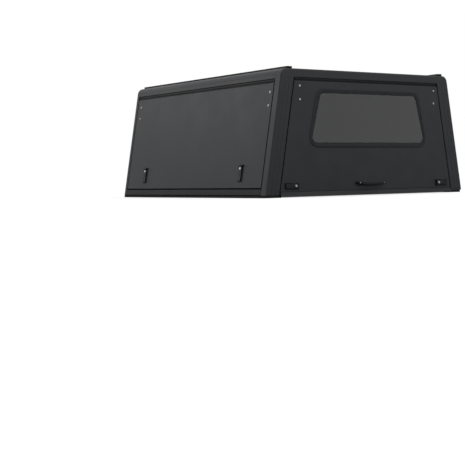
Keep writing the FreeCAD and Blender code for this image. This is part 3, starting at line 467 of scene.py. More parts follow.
def rounded_loop(corners: Array, radius: float, steps: int = 9) -> Array:
    """Points round a polygon whose corners are arcs.

    An arc's ends lie on the corner's two sides, radius / tan(half the corner's angle) from it, and its
    centre lies on the bisector at radius / sin(that half angle). The spokes to its points turn evenly from
    one end's spoke to the other's, by spherical interpolation.

    Args:
        corners: the polygon's corners in order.
        radius: the arcs' radius.
        steps: points in an arc.

    Returns:
        The points in order, two coordinates each.
    """
    back = np.roll(corners, 1, axis=0) - corners
    ahead = np.roll(corners, -1, axis=0) - corners
    back /= np.linalg.norm(back, axis=1, keepdims=True)
    ahead /= np.linalg.norm(ahead, axis=1, keepdims=True)
    half = np.arccos(np.sum(back * ahead, axis=1, keepdims=True)) / 2
    middle = back + ahead
    centre = corners + middle / np.linalg.norm(middle, axis=1, keepdims=True) * radius / np.sin(half)
    start = corners + back * radius / np.tan(half) - centre
    end = corners + ahead * radius / np.tan(half) - centre
    sweep = (math.pi - 2 * half)[:, None]
    share = np.linspace(0, 1, steps)[None, :, None]
    spokes = np.sin((1 - share) * sweep) * start[:, None] + np.sin(share * sweep) * end[:, None]
    return (centre[:, None] + spokes / np.sin(sweep)).reshape(-1, 2)


def turned(profile: Array, steps: int = 32) -> Array:
    """A surface turned about an axis: each row is a circle of the profile's radius at the profile's height.

    Args:
        profile: rows of radius and height.
        steps: points in a circle.

    Returns:
        Points across, across and along the axis, with a row for each step of the profile.
    """
    angle = np.linspace(0, 2 * math.pi, steps, endpoint=False)
    radius, height = profile[:, :1], profile[:, 1:]
    return grid_of(radius * np.cos(angle), radius * np.sin(angle), height)


def pillow_section(wide: Array, thick: Array, power: float, steps: int = 36) -> tuple[Array, Array]:
    """Superellipses: half width and half thickness times the signed cosine and sine to the power 2 / power.

    Args:
        wide: half width of each row.
        thick: half thickness of each row.
        power: 2 for an ellipse, more for a squarer section.
        steps: points round the section.

    Returns:
        Distances across and high, each with a row for each row of sizes.
    """
    angle = np.linspace(0, 2 * math.pi, steps, endpoint=False) + math.pi / steps
    cosine, sine = np.cos(angle), np.sin(angle)
    across = wide[:, None] * np.sign(cosine) * np.abs(cosine) ** (2 / power)
    high = thick[:, None] * np.sign(sine) * np.abs(sine) ** (2 / power)
    return across, high


def smooth_step(value: Array, low: float, high: float) -> Array:
    """0 below low, 1 above high, and 3t² - 2t³ between, where t is the share of the way."""
    share = np.clip((value - low) / (high - low), 0, 1)
    return share * share * (3 - 2 * share)


def add_object(name: str, data: bpy.types.ID) -> bpy.types.Object:
    """Make an object and link it to the scene.

    Args:
        name: its name.
        data: its mesh, camera or light.

    Returns:
        The object.
    """
    thing = bpy.data.objects.new(name, data)
    bpy.context.scene.collection.objects.link(thing)
    return thing


class Surfaces:
    """Closed surfaces gathered into one mesh."""

    def __init__(self) -> None:
        """Start with no surface."""
        self.points: list[Array] = []
        self.faces: list[list[int]] = []
        self.count = 0

    def add_tube(self, grid: Array) -> "Surfaces":
        """Add rows of points, each closed on itself and joined to the next, with both end rows capped.

        The face at row i and column j joins points (i, j), (i, j + 1), (i + 1, j + 1) and (i + 1, j), where
        the column after the last is the first.

        Args:
            grid: points by row and column.

        Returns:
            These surfaces, for further calls.
        """
        index = self._take(grid)
        self._join_rows(index)
        self.faces += [index[0, ::-1].tolist(), index[-1].tolist()]
        return self

    def add_ring(self, grid: Array) -> "Surfaces":
        """Add rows of points that are closed in both directions, as a moulding round a window is.

        Args:
            grid: points by row and column.

        Returns:
            These surfaces, for further calls.
        """
        index = self._take(grid)
        self._join_rows(np.vstack([index, index[:1]]))
        return self

    def _take(self, grid: Array) -> Array:
        """Keep a grid's points and number them."""
        index = np.arange(grid.shape[0] * grid.shape[1]).reshape(grid.shape[:2]) + self.count
        self.points.append(grid.reshape(-1, 3))
        self.count += index.size
        return index

    def _join_rows(self, index: Array) -> None:
        """Add the faces between rows of numbered points, closed along each row."""
        ahead = np.roll(index, -1, axis=1)
        quads = np.stack([index[:-1], ahead[:-1], ahead[1:], index[1:]], axis=-1)
        self.faces += quads.reshape(-1, 4).tolist()

    def build(self, name: str, sharp: float = SHARP_NEW) -> bpy.types.Object:
        """Make the mesh, with its faces turned outwards and shaded smooth between its sharp edges.

        Args:
            name: the piece's name.
            sharp: the angle in degrees above which an edge is sharp.

        Returns:
            The piece, linked to the scene.
        """
        mesh = bpy.data.meshes.new(name)
        mesh.from_pydata(np.concatenate(self.points).tolist(), [], self.faces)
        work = bmesh.new()
        work.from_mesh(mesh)
        bmesh.ops.remove_doubles(work, verts=work.verts, dist=MERGE_NEW)
        bmesh.ops.recalc_face_normals(work, faces=work.faces)
        work.to_mesh(mesh)
        work.free()
        mesh.shade_smooth()
        mesh.set_sharp_from_angle(angle=math.radians(sharp))
        return add_object(name, mesh)


def dress(piece: bpy.types.Object, body: str, finish: bpy.types.Material) -> None:
    """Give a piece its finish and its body.

    Args:
        piece: the piece.
        body: the body that it rides on.
        finish: its material.
    """
    piece.data.materials.clear()
    piece.data.materials.append(finish)
    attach(piece, body)
    LOG.info("%s rides on %s", piece.name, body)


def dress_copy(
    node: str, body: str, finish: bpy.types.Material, edge: float,
) -> bpy.types.Object:
    """Show a CAD node as a merged copy with eased edges.

    The copy's coincident points are merged and its flat faces joined before its edges are rounded.

    Args:
        node: the CAD node.
        body: the body that it rides on.
        finish: its material.
        edge: radius of its eased edges.

    Returns:
        The new piece.
    """
    name = f"{node}_dressed"
    mesh = frame["nodes"][node].data.copy()
    mesh.name = name
    work = bmesh.new()
    work.from_mesh(mesh)
    bmesh.ops.remove_doubles(work, verts=work.verts, dist=MERGE_COPY)
    bmesh.ops.dissolve_limit(work, angle_limit=FLAT_ANGLE, verts=work.verts, edges=work.edges)
    work.to_mesh(mesh)
    work.free()
    mesh.shade_smooth()
    mesh.set_sharp_from_angle(angle=SHARP_COPY)
    piece = add_object(name, mesh)
    bevel = piece.modifiers.new("eased_edges", "BEVEL")
    bevel.width = edge
    bevel.segments = 2
    bevel.limit_method = "ANGLE"
    bevel.angle_limit = EASED_ANGLE
    bevel.use_clamp_overlap = True
    weights = piece.modifiers.new("flat_faces", "WEIGHTED_NORMAL")
    weights.weight = 100
    weights.keep_sharp = True
    dress(piece, body, finish)
    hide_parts(node)
    return piece


# The studio


def stand(thing: bpy.types.Object, right: Array, up: Array, place: Triple) -> None:
    """Put a camera or a lamp in its place, looking along up x right.

    Args:
        thing: the camera or the lamp.
        right: its own right.
        up: its own up.
        place: where it stands.
    """
    axes = np.column_stack([right, up, np.cross(right, up)])
    thing.matrix_world = Matrix(axes.tolist()).to_4x4()
    thing.location = place


@dataclass(frozen=True)
class Lamp:
    """A rectangular soft light."""

    name: str
    place: Triple
    aim: Triple
    width: float
    height: float
    power: float

    def build(self) -> None:
        """Make the lamp, with its face towards its aim."""
        data = bpy.data.lights.new(self.name, "AREA")
        data.shape = "RECTANGLE"
        data.size = self.width
        data.size_y = self.height
        data.energy = self.power
        back = np.array(self.place) - np.array(self.aim)
        back = back / np.linalg.norm(back)
        right = np.cross((0.0, 0.0, 1.0), back)
        right = right / np.linalg.norm(right)
        stand(add_object(self.name, data), right, np.cross(back, right), self.place)


@dataclass(frozen=True)
class Studio:
    """The camera, the pale floor, the white surroundings and the soft lights."""

    eye: Triple = (-4.6216, -5.8757, 0.1267)
    right: Triple = (0.81628, -0.57733, -0.01924)
    up: Triple = (0.04481, 0.03007, 0.99854)
    lens: float = 85.07
    sensor: float = 36.0
    floor_reach: float = 60.0
    floor_drop: float = 0.5 * MM
    surroundings: float = 0.55
    lamps: tuple[Lamp, ...] = (
        Lamp("side_softbox", (-2.6, 2.4, 1.75), (-0.68, 0.0, 0.6), 1.8, 1.0, 9.5),
        Lamp("rear_softbox", (1.8, -4.6, 3.6), (0.0, -0.8, 0.4), 3.0, 2.0, 50.0),
    )

    def build(self, floor_finish: bpy.types.Material) -> None:
        """Make the studio.

        Args:
            floor_finish: the floor's material.
        """
        bpy.context.scene.view_settings.view_transform = "Standard"
        self.build_camera()
        self.build_world()
        self.build_floor(floor_finish)
        for lamp in self.lamps:
            lamp.build()

    def build_camera(self) -> None:
        """Place the camera at the photograph's viewing angle."""
        data = bpy.data.cameras.new("camera")
        data.lens = self.lens
        data.sensor_width = self.sensor
        camera = add_object("camera", data)
        stand(camera, self.right, self.up, self.eye)
        bpy.context.scene.camera = camera

    def build_world(self) -> None:
        """Surroundings that look white, and light the canopy at a plainer level."""
        world = bpy.data.worlds.new("surroundings")
        bpy.context.scene.world = world
        nodes = Nodes(world)
        plain, white = (
            nodes.add("Background", Color=(1.0, 1.0, 1.0, 1.0), Strength=strength)
            for strength in (self.surroundings, 1.0)
        )
        nodes.show_by_ray(plain, white, "Camera", "Glossy", "Transmission")

    def build_floor(self, finish: bpy.types.Material) -> None:
        """A wide pale floor just under the canopy.

        Args:
            finish: the floor's material.
        """
        corners = np.array([(-1, -1), (1, -1), (1, 1), (-1, 1)]) * self.floor_reach
        mesh = bpy.data.meshes.new("floor")
        mesh.from_pydata([(x, y, -self.floor_drop) for x, y in corners], [], [(0, 1, 2, 3)])
        mesh.materials.append(finish)
        floor = add_object("floor", mesh)


# The canopy


@dataclass(frozen=True)
class Recess:
    """The strip under a header where its door's hinge turns, between two levels up the wall, which gets painted
    shade.
    """

    node: str
    wall: Wall
    foot: float
    head: float
    depth: float = 1.0 * MM

    def darken(self, piece: bpy.types.Object, finish: bpy.types.Material) -> None:
        """Give the darker painted-shade finish to the faces between the levels that lie behind the wall's outer
        face.

        Args:
            piece: the header's piece.
            finish: the darker copy of the coat that paints the shade.
        """
        faces = piece.data.polygons
        centres = np.empty(3 * len(faces))
        faces.foreach_get("center", centres)
        _, up, out = self.wall.measure(centres.reshape(-1, 3)).T
        inside = (up > self.foot) & (up < self.head) & (out < -self.depth)
        piece.data.materials.append(finish)
        faces.foreach_set("material_index", inside.astype(np.int32))


@dataclass(frozen=True)
class SheetMetal:
    """Every folded sheet of the frame and the doors, with its edges eased by the coat."""

    edge: float = 0.6 * MM
    words: tuple[str, ...] = (
        "rail", "post", "header", "roof_sheet", "roof_bows", "front_panel", "door_panel", "door_liner",
        "door_skirt",
    )
    # The lowest sheets, which get the darker painted-shade copy of the coat.
    low_words: tuple[str, ...] = ("base_rail", "door_skirt")
    hinges: tuple[str, ...] = ("left_door", "right_door", "rear_door")
    # Where the painted shade goes under each header.
    recesses: tuple[Recess, ...] = (
        Recess("header_left", side_wall(Hand.LEFT), 640 * MM, 689.4 * MM),
        Recess("header_right", side_wall(Hand.RIGHT), 640 * MM, 689.4 * MM),
        Recess("rear_header", REAR_WALL, 640 * MM, 704.5 * MM),
    )

    def dress_all(self, finishes: Finishes) -> None:
        """Show each sheet-metal node.

        Args:
            finishes: the materials.
        """
        for body, nodes in frame["record"]["behaviour"]["bodies"].items():
            for node in nodes:
                if any(word in node for word in self.words):
                    # The lowest sheets get painted shade: a darker copy of the coat.
                    low = any(word in node for word in self.low_words)
                    finish = finishes.low_coat if low else finishes.coat
                    piece = dress_copy(node, body, finish, self.edge)
                    # Faces in the recess under each header get the painted shade.
                    for recess in self.recesses:
                        if recess.node == node:
                            recess.darken(piece, finishes.hinge)
        for door in self.hinges:
            dress_copy(f"{door}_hinge", door, finishes.hinge, self.edge)


@dataclass(frozen=True)
class RoofTracks:
    """The slotted tracks along the roof's edges, with a moulded plug in each end."""

    edge: float = 0.5 * MM
    plug: tuple[Pair, ...] = ((0.0, -9.0), (0.0, 2.0), (0.4, 2.7), (1.2, 3.0))
    plug_corner: float = 2.0 * MM
    plug_play: float = 0.2 * MM

    def dress_all(self, finishes: Finishes) -> None:
        """Show the tracks and plug their ends.

        Args:
            finishes: the materials.
        """
        for hand in Hand:
            node = f"roof_track_{hand.word}"
            dress_copy(node, "frame", finishes.track, self.edge)
            dress(self.make_plugs(node), "frame", finishes.track)

    def make_plugs(self, node: str) -> bpy.types.Object:
        """A plug in each end of a track: rounded rectangles stacked along Y, the outer ones smaller.

        Args:
            node: the track's node.

        Returns:
            Both plugs as one piece.
        """
        low, high = (np.array(corner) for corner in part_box(node))
        middle = (low + high) / 2
        size = (high - low) / 2 - self.plug_play
        grid = rounded_rectangles(size[0], size[2], self.plug_corner, np.array(self.plug) * MM)
        across, upward, outward = np.moveaxis(grid, -1, 0)
        shapes = Surfaces()
        for end, sign in ((low[1], -1), (high[1], 1)):
            shapes.add_tube(grid_of(middle[0] + across, end + sign * outward, middle[2] + upward))
        return shapes.build(f"{node}_plugs")


@dataclass(frozen=True)
class Window:
    """A window's glass and the moulded rubber round it, in a flat wall."""

    place: str
    body: str
    wall: Wall
    foot: float = 323 * MM
    head: float = 617 * MM
    lower: float = 466 * MM
    upper: float = 389 * MM
    corner: float = 34 * MM
    edge: float = 0.5 * MM
    section: tuple[Pair, ...] = (
        (0.0, 0.02), (-0.2, 0.5), (0.0, 1.1), (0.8, 1.9), (2.4, 2.5), (5.0, 2.9), (8.4, 3.0), (8.9, 2.8),
        (9.2, 1.6), (10.2, 1.6), (10.5, 2.8), (11.0, 3.0), (21.0, 3.0), (25.6, 2.8), (28.6, 2.2), (30.3, 1.2),
        (31.0, 0.3), (31.0, 0.0), (11.0, 0.0), (11.0, -3.9), (7.0, -3.9), (7.0, 0.02),
    )

    def outline(self, margin: float) -> Array:
        """The window's rounded outline, grown from the visible glass by a margin.

        Args:
            margin: how far it grows.

        Returns:
            Points along and up the wall.
        """
        foot, head = self.foot - margin, self.head + margin
        lower, upper = self.lower + margin, self.upper + margin
        corners = np.array([(-lower, foot), (lower, foot), (upper, head), (-upper, head)])
        return rounded_loop(corners, self.corner + margin)

    def make_rubber(self) -> bpy.types.Object:
        """The rubber: its section of margin and height carried round the glass, closed both ways.

        Returns:
            The rubber's piece.
        """
        section = np.array(self.section) * MM
        loops = np.stack([self.outline(margin) for margin in section[:, 0]])
        grid = self.wall.place(loops[..., 0], loops[..., 1], section[:, 1:])
        return Surfaces().add_ring(grid).build(f"{self.place}_window_rubber")

    def dress_all(self, finishes: Finishes) -> None:
        """Show the glass and the rubber.

        Args:
            finishes: the materials.
        """
        dress_copy(f"{self.place}_window_glass", self.body, finishes.glass, self.edge)
        rubber = self.make_rubber()
        dress(rubber, self.body, finishes.rubber)
        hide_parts(f"{self.place}_window_seal")


@dataclass(frozen=True)
class Seals:
    """The bulb rubbers that the closed doors lie on, and the ribbed strips under the base rails.

    The bulb's section is rows of inset and share of the way from the land to the bulb's top.
    """

    section: tuple[Pair, ...] = (
        (0.6, 0.0), (0.6, 0.26), (2.6, 0.33), (3.0, 0.54), (3.9, 0.76), (5.3, 0.91), (7.0, 0.97), (8.7, 0.91),
        (10.1, 0.76), (11.0, 0.54), (11.4, 0.33), (13.4, 0.26), (13.4, 0.0),
    )
    corner: float = 20 * MM
    side_land: float = 37.4 * MM
    rear_land: float = 38 * MM
    bulb_top: float = 30.4 * MM
    side_foot: float = 43.69 * MM
    side_top: float = 667.55 * MM
    rear_foot: float = 33 * MM
    rear_top: float = 683 * MM
    rear_edge: float = 104 * MM
    below: float = 1.0
    strip_inset: float = 8 * MM
    strip_wide: float = 42 * MM
    strip_gap: float = 6 * MM
    strip_toe: float = 1.0 * MM
    ease: float = 1.5 * MM
    ribs: int = 6
    rib_steps: int = 10
    rib_depth: float = 1.2 * MM
    # The pads reach in past the rear posts, and a block stands at their inner ends behind the skirt: dark rubber
    # filler standing in for the shade seen through the gap beside the skirt.
    pad_reach: float = 690 * MM
    pad_deep: float = 42 * MM
    block_half: float = 9.5 * MM
    block_inset: float = 2 * MM
    block_corner: float = 3 * MM
    block_top: float = 31 * MM

    def heights(self, land: float) -> Array:
        """The section's distances out of a wall, from the land behind a door to just short of the door.

        Args:
            land: the land's depth behind the wall's outer face.

        Returns:
            A column of distances.
        """
        share = np.array(self.section)[:, 1:]
        return -land + share * (land - self.bulb_top)

    def make_side(self, hand: Hand) -> bpy.types.Object:
        """A side door's rubber: its section of inset and height carried round the doorway.

        Args:
            hand: the side.

        Returns:
            The rubber's piece.
        """
        long, tall = (DOOR_FRONT - DOOR_BACK) / 2, (self.side_top - self.side_foot) / 2
        profile = np.hstack([np.array(self.section)[:, :1] * MM, self.heights(self.side_land)])
        grid = rounded_rectangles(long, tall, self.corner, profile)
        along = grid[..., 0] + (DOOR_FRONT + DOOR_BACK) / 2
        up = grid[..., 1] + (self.side_top + self.side_foot) / 2
        ring = side_wall(hand).place(along, up, grid[..., 2])
        return Surfaces().add_ring(ring).build(f"{hand.word}_door_bulb_seal")

    def rear_path(self, inset: float) -> Array:
        """A path up one leaning side of the rear doorway, over its rounded top and down the other side.

        Its loop's lower corners lie far below the foot and are cut off.

        Args:
            inset: distance inside the door's edge.

        Returns:
            Points along and up the rear wall.
        """
        edge = self.rear_edge + inset / math.cos(LEAN)
        deep, top = self.rear_foot - self.below, self.rear_top - inset
        foot, low, high = (half_width(level) - edge for level in (self.rear_foot, deep, top))
        corners = np.array([(-low, deep), (low, deep), (high, top), (-high, top)])
        loop = rounded_loop(corners, self.corner - inset)
        return np.vstack([(foot, self.rear_foot), loop[len(loop) // 2:], (-foot, self.rear_foot)])

    def make_rear(self) -> bpy.types.Object:
        """The rear door's rubber: the same section carried along its path, with both ends closed.

        Returns:
            The rubber's piece.
        """
        paths = np.stack([self.rear_path(inset * MM) for inset, _ in self.section])
        grid = REAR_WALL.place(paths[..., 0], paths[..., 1], self.heights(self.rear_land))
        return Surfaces().add_tube(np.swapaxes(grid, 0, 1)).build("rear_door_bulb_seal")

    def strip_section(self) -> Array:
        """A strip's section: a flat top on eased corners over a row of ribs, half a depth times 1 - cosine.

        Returns:
            Points across and high.
        """
        half, ease = self.strip_wide / 2, self.ease
        turn = np.linspace(0, 2 * math.pi * self.ribs, self.rib_steps * self.ribs + 1)
        across = np.linspace(half - self.strip_toe, self.strip_toe - half, len(turn))
        under = np.column_stack([across, self.rib_depth * (1 - np.cos(turn)) / 2])
        top = np.array([(-half, self.strip_toe), (-half, BASE - ease), (ease - half, BASE)])
        return np.vstack([under, top, top[::-1] * (-1, 1)])

    def make_strips(self) -> bpy.types.Object:
        """The strips under the rails and the rear posts: their section carried along each. The pads under the rear
        posts run on past the posts to a block behind each skirt end, dark rubber that stands in for the shade seen
        through the gap there.

        Returns:
            The strips' piece.
        """
        outer = HALF_BASE - self.strip_inset
        middle = outer - self.strip_wide / 2
        inner = outer - self.strip_wide - self.strip_gap
        back, front = REAR + self.strip_inset, FRONT - self.strip_inset
        pad = back + self.pad_deep / 2
        across, high = self.strip_section().T
        rise = np.array([(0, 0.5 * BASE), (0, self.block_top - self.ease), (self.ease, self.block_top)])
        block = rounded_rectangles(
            self.block_half, self.pad_deep / 2 - self.block_inset, self.block_corner, rise,
        )
        shapes = Surfaces()
        for sign in (-1, 1):
            shapes.add_tube(grid_of(sign * middle + across, [[back], [front]], high))
            # The pad and its block: dark filler standing in for shade in the gap beside the skirt.
            ends = sign * np.array([[self.pad_reach], [outer - self.strip_wide]])
            shapes.add_tube(grid_of(ends, pad + across, high))
            shapes.add_tube(block + (sign * (self.pad_reach + self.block_half), pad, 0.0))
        shapes.add_tube(grid_of([[-inner], [inner]], front - self.strip_wide / 2 + across, high))
        return shapes.build("base_seal_strips")

    def dress_all(self, finishes: Finishes) -> None:
        """Show every seal.

        Args:
            finishes: the materials.
        """
        pieces = [(self.make_side(hand), f"{hand.word}_door_rubber") for hand in Hand]
        pieces += [(self.make_rear(), "rear_door_rubber"), (self.make_strips(), "base_seal")]
        for piece, node in pieces:
            dress(piece, "frame", finishes.rubber)
            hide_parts(node)


@dataclass(frozen=True)
class Latch:
    """A paddle latch, in its own directions: towards the pivot end, across the latch, out of the skin."""

    wall: Wall
    middle: Pair
    towards: Pair
    pivot: float = 45 * MM
    pivot_out: float = 8 * MM
    plate_long: float = 54 * MM
    plate_wide: float = 21 * MM
    plate_corner: float = 7 * MM
    plate_section: tuple[Pair, ...] = (
        (0.0, 0.0), (0.0, 2.1), (0.25, 2.7), (0.9, 3.0), (3.0, 3.0), (3.6, 2.8), (4.2, 2.2), (5.2, 0.9),
        (6.2, 0.5),
    )
    box_long: float = 38 * MM
    box_wide: float = 15 * MM
    box_corner: float = 3 * MM
    box_section: tuple[Pair, ...] = ((1.0, -20.0), (0.0, -19.0), (0.0, 0.2))
    ear_gap: float = 0.6 * MM
    ear_thick: float = 3 * MM
    ear_ease: float = 0.5 * MM
    ear_foot: float = 0.8 * MM
    ear_long: float = 4.5 * MM
    ear_corner: float = 4.2 * MM
    ear_rise: float = 3.4 * MM
    pin_section: tuple[Pair, ...] = (
        (1.4, -19.4), (1.8, -19.1), (2.0, -18.7), (2.0, 18.7), (1.8, 19.1), (1.4, 19.4),
    )
    paddle_wide: float = 15 * MM
    paddle_thick: float = 4 * MM
    paddle_top: float = 8.4 * MM
    paddle_power: float = 7.0
    paddle_steps: tuple[int, int, int] = (9, 22, 9)
    knuckle_start: float = 0.15
    knuckle_least: float = 0.0005
    tip: float = -49 * MM
    tip_bend: float = 6 * MM
    tip_step: float = 2 * MM
    tip_drop: float = 1.2 * MM
    lip_rise: float = 1.2 * MM
    lip_run: float = 22 * MM
    dish_place: float = -20 * MM
    dish_reach: float = 13 * MM
    dish_depth: float = 0.9 * MM
    ramp_start: float = 35 * MM
    ramp_end: float = 43 * MM
    lock_place: float = 27 * MM
    lock_section: tuple[Pair, ...] = (
        (7.6, -2.0), (7.6, 0.9), (7.3, 1.4), (6.8, 1.5), (6.5, 1.5), (6.3, 1.6), (6.3, 1.9), (6.0, 2.2),
        (5.4, 2.3), (4.8, 2.3), (4.5, 2.1), (4.3, 1.8),
    )
    keyway_long: float = 3.0 * MM
    keyway_wide: float = 0.7 * MM
    keyway_corner: float = 0.6 * MM
    keyway_section: tuple[Pair, ...] = ((0.0, 1.4), (0.0, 1.9), (0.1, 1.95))

    def place(self, towards: Array, across: Array, out: Array) -> Array:
        """Points in the model from distances in the latch's own directions, from its middle.

        Args:
            towards: distances towards the pivot end.
            across: distances across the latch.
            out: distances out of the skin.

        Returns:
            The points.
        """
        along = self.middle[0] + towards * self.towards[0] + across * self.towards[1]
        up = self.middle[1] + towards * self.towards[1] + across * abs(self.towards[0])
        return self.wall.place(along, up, out)

    def place_grid(self, grid: Array) -> Array:
        """Points in the model from a grid of points in the latch's own directions."""
        return self.place(*np.moveaxis(grid, -1, 0))

    def add_plate(self, shapes: Surfaces) -> None:
        """The plate and its box: rounded rectangles stacked up an edge, over a rim and down into a dish.

        Args:
            shapes: where the surfaces go.
        """
        for long, wide, corner, section in (
            (self.plate_long, self.plate_wide, self.plate_corner, self.plate_section),
            (self.box_long, self.box_wide, self.box_corner, self.box_section),
        ):
            shapes.add_tube(self.place_grid(rounded_rectangles(long, wide, corner, np.array(section) * MM)))

    def add_ears(self, shapes: Surfaces) -> None:
        """Two ears beside the paddle's knuckle, and the pin through them.

        An ear is rounded rectangles stacked across the latch, and the pin is a turned rod with rounded ends.

        Args:
            shapes: where the surfaces go.
        """
        inner, ease = self.paddle_wide + self.ear_gap, self.ear_ease
        outer = inner + self.ear_thick
        profile = np.array([(ease, inner), (0.0, inner + ease), (0.0, outer - ease), (ease, outer)])
        tall = (self.pivot_out + self.ear_rise - self.ear_foot) / 2
        long, high, across = np.moveaxis(
            rounded_rectangles(self.ear_long, tall, self.ear_corner, profile), -1, 0,
        )
        for sign in (-1, 1):
            shapes.add_tube(self.place(self.pivot + long, sign * across, self.ear_foot + tall + high))
        long, high, across = np.moveaxis(turned(np.array(self.pin_section) * MM, 20), -1, 0)
        shapes.add_tube(self.place(self.pivot + long, across, self.pivot_out + high))

    def make_paddle(self, name: str) -> bpy.types.Object:
        """The paddle: superellipse sections along its length, from a thin lip to a knuckle round the pin.

        The half width is full but for a rounded tip. The top is flat with a shallow thumb dish and rises to
        the knuckle, the underside rises towards the tip, and both close on the knuckle's circle at the end.

        Args:
            name: the piece's name.

        Returns:
            The paddle's piece.
        """
        reach, bend = self.paddle_thick, self.tip_bend
        first, middle, last = self.paddle_steps
        body = np.concatenate([
            self.tip + bend * (1 - np.cos(np.linspace(0, math.pi / 2, first))),
            np.linspace(self.tip + bend + self.tip_step, self.pivot, middle),
            self.pivot + reach * np.sin(np.linspace(self.knuckle_start, math.pi / 2, last)),
        ])
        past_tip = np.clip((body - self.tip) / bend, 0, 1)
        falling = 1 - np.sqrt(1 - (1 - past_tip) ** 2)
        wide = self.paddle_wide - bend * falling
        past_pin = np.clip((body - self.pivot) / reach, 0, 1)
        knuckle = reach * np.sqrt(np.clip(1 - past_pin ** 2, self.knuckle_least, 1))
        ramp = 1 - smooth_step(body, self.ramp_start, self.ramp_end)
        slope = (self.pivot_out + reach - self.paddle_top) * ramp
        dish = self.dish_depth * np.exp(-(((body - self.dish_place) / self.dish_reach) ** 2))
        top = self.pivot_out + knuckle - slope - dish - self.tip_drop * falling
        lip = self.lip_rise * (1 - smooth_step(body, self.tip, self.tip + self.lip_run))
        bottom = self.pivot_out - knuckle + lip
        across, high = pillow_section(wide, (top - bottom) / 2, self.paddle_power)
        grid = self.place(body[:, None], across, (top + bottom)[:, None] / 2 + high)
        return Surfaces().add_tube(grid).build(name, SHARP_MOULDED)

    def make_lock(self, name: str) -> bpy.types.Object:
        """The lock barrel in its bright bezel, turned about its axis.

        Args:
            name: the piece's name.

        Returns:
            The lock's piece.
        """
        barrel = turned(np.array(self.lock_section) * MM) + (self.lock_place, 0, self.paddle_top)
        return Surfaces().add_tube(self.place_grid(barrel)).build(name)

    def make_keyway(self, name: str) -> bpy.types.Object:
        """The dark keyway across the barrel: a thin rounded rectangle.

        Args:
            name: the piece's name.

        Returns:
            The keyway's piece.
        """
        profile = np.array(self.keyway_section) * MM
        grid = rounded_rectangles(self.keyway_long, self.keyway_wide, self.keyway_corner, profile, 4)
        grid = self.place_grid(grid + (self.lock_place, 0, self.paddle_top))
        return Surfaces().add_tube(grid).build(name)


@dataclass(frozen=True)
class LatchSet:
    """The two latches of one door, placed from its paddles' hinge pins."""

    door: str
    wall: Wall
    towards: tuple[Pair, ...]
    paddles: tuple[str, ...]

    def latches(self) -> list[tuple[str, Latch]]:
        """Each paddle's body with its latch, whose middle lies a pivot's distance from the pin.

        Returns:
            Pairs of body name and latch.
        """
        pins = {joint["child"]: self.wall.measure(joint["pos_m"]) for joint in frame["joints"]}
        pairs = []
        for paddle, step in zip(self.paddles, self.towards):
            pin = pins[paddle]
            middle = (pin[0] - Latch.pivot * step[0], pin[1] - Latch.pivot * step[1])
            pairs.append((paddle, Latch(self.wall, middle, step)))
        return pairs

    def dress_all(self, finishes: Finishes) -> None:
        """Show the plates on the door and the paddles with their locks.

        Args:
            finishes: the materials.
        """
        plates = Surfaces()
        for paddle, latch in self.latches():
            latch.add_plate(plates)
            latch.add_ears(plates)
            piece = latch.make_paddle(f"{paddle}_moulded")
            dress(piece, paddle, finishes.latch)
            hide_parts(paddle)
            dress(latch.make_lock(f"{paddle}_lock"), paddle, finishes.metal)
            dress(latch.make_keyway(f"{paddle}_keyway"), paddle, finishes.latch)
        piece = plates.build(f"{self.door}_latch_plates")
        dress(piece, self.door, finishes.latch)
        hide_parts(f"{self.door}_latches")


@dataclass(frozen=True)
class Bolt:
    """A button-head bolt on a washer, with a hexagonal socket, in shares of the head's radius.

    The outside is turned: the washer's edge, then a dome that falls away from its middle. The socket's rows
    are hexagons: the half width across the flats over the cosine of the angle from the nearest flat.
    """

    wall: Wall
    size: float
    seat: float = 0.0
    outside: tuple[Pair, ...] = (
        (1.3, 0.0), (1.3, 0.12), (1.261, 0.16), (1.02, 0.16), (1.0, 0.22), (0.97, 0.30), (0.88, 0.42),
        (0.74, 0.52), (0.60, 0.57), (0.56, 0.57),
    )
    socket: float = 0.45
    socket_levels: Pair = (0.56, 0.26)
    steps: int = 36

    def add(self, shapes: Surfaces, along: float, up: float) -> None:
        """Add the bolt at a place on its wall.

        Args:
            shapes: where the surface goes.
            along: distance along the wall.
            up: distance up it.
        """
        radius, high = np.array(self.outside).T
        angle = np.linspace(0, 2 * math.pi, self.steps, endpoint=False)
        flat = self.socket / np.cos((angle + math.pi / 6) % (math.pi / 3) - math.pi / 6)
        circles = np.broadcast_to(radius[:, None], (len(radius), self.steps))
        rows = self.size * np.vstack([circles, flat, flat])
        levels = self.size * np.append(high, self.socket_levels)[:, None]
        shapes.add_tube(self.wall.place(
            along + rows * np.cos(angle), up + rows * np.sin(angle), self.seat + levels,
        ))


@dataclass(frozen=True)
class StrutBolts:
    """The bright bolts in pairs near the doors' top corners, which hold the gas struts' brackets inside."""

    head: float = 4.7 * MM
    side_places: Pair = (-729 * MM, 747 * MM)
    side_rises: Pair = (614.55 * MM, 534.55 * MM)
    rear_places: Pair = (-547 * MM, 555 * MM)
    rear_rises: Pair = (655 * MM, 575 * MM)

    def dress_all(self, finishes: Finishes) -> None:
        """Show every door's bolts.

        Args:
            finishes: the materials.
        """
        doors = [(f"{hand.word}_door", side_wall(hand), self.side_places, self.side_rises) for hand in Hand]
        doors.append(("rear_door", REAR_WALL, self.rear_places, self.rear_rises))
        for body, wall, places, rises in doors:
            shapes = Surfaces()
            for along in places:
                for up in rises:
                    Bolt(wall, self.head).add(shapes, along, up)
            dress(shapes.build(f"{body}_strut_bolts"), body, finishes.metal)


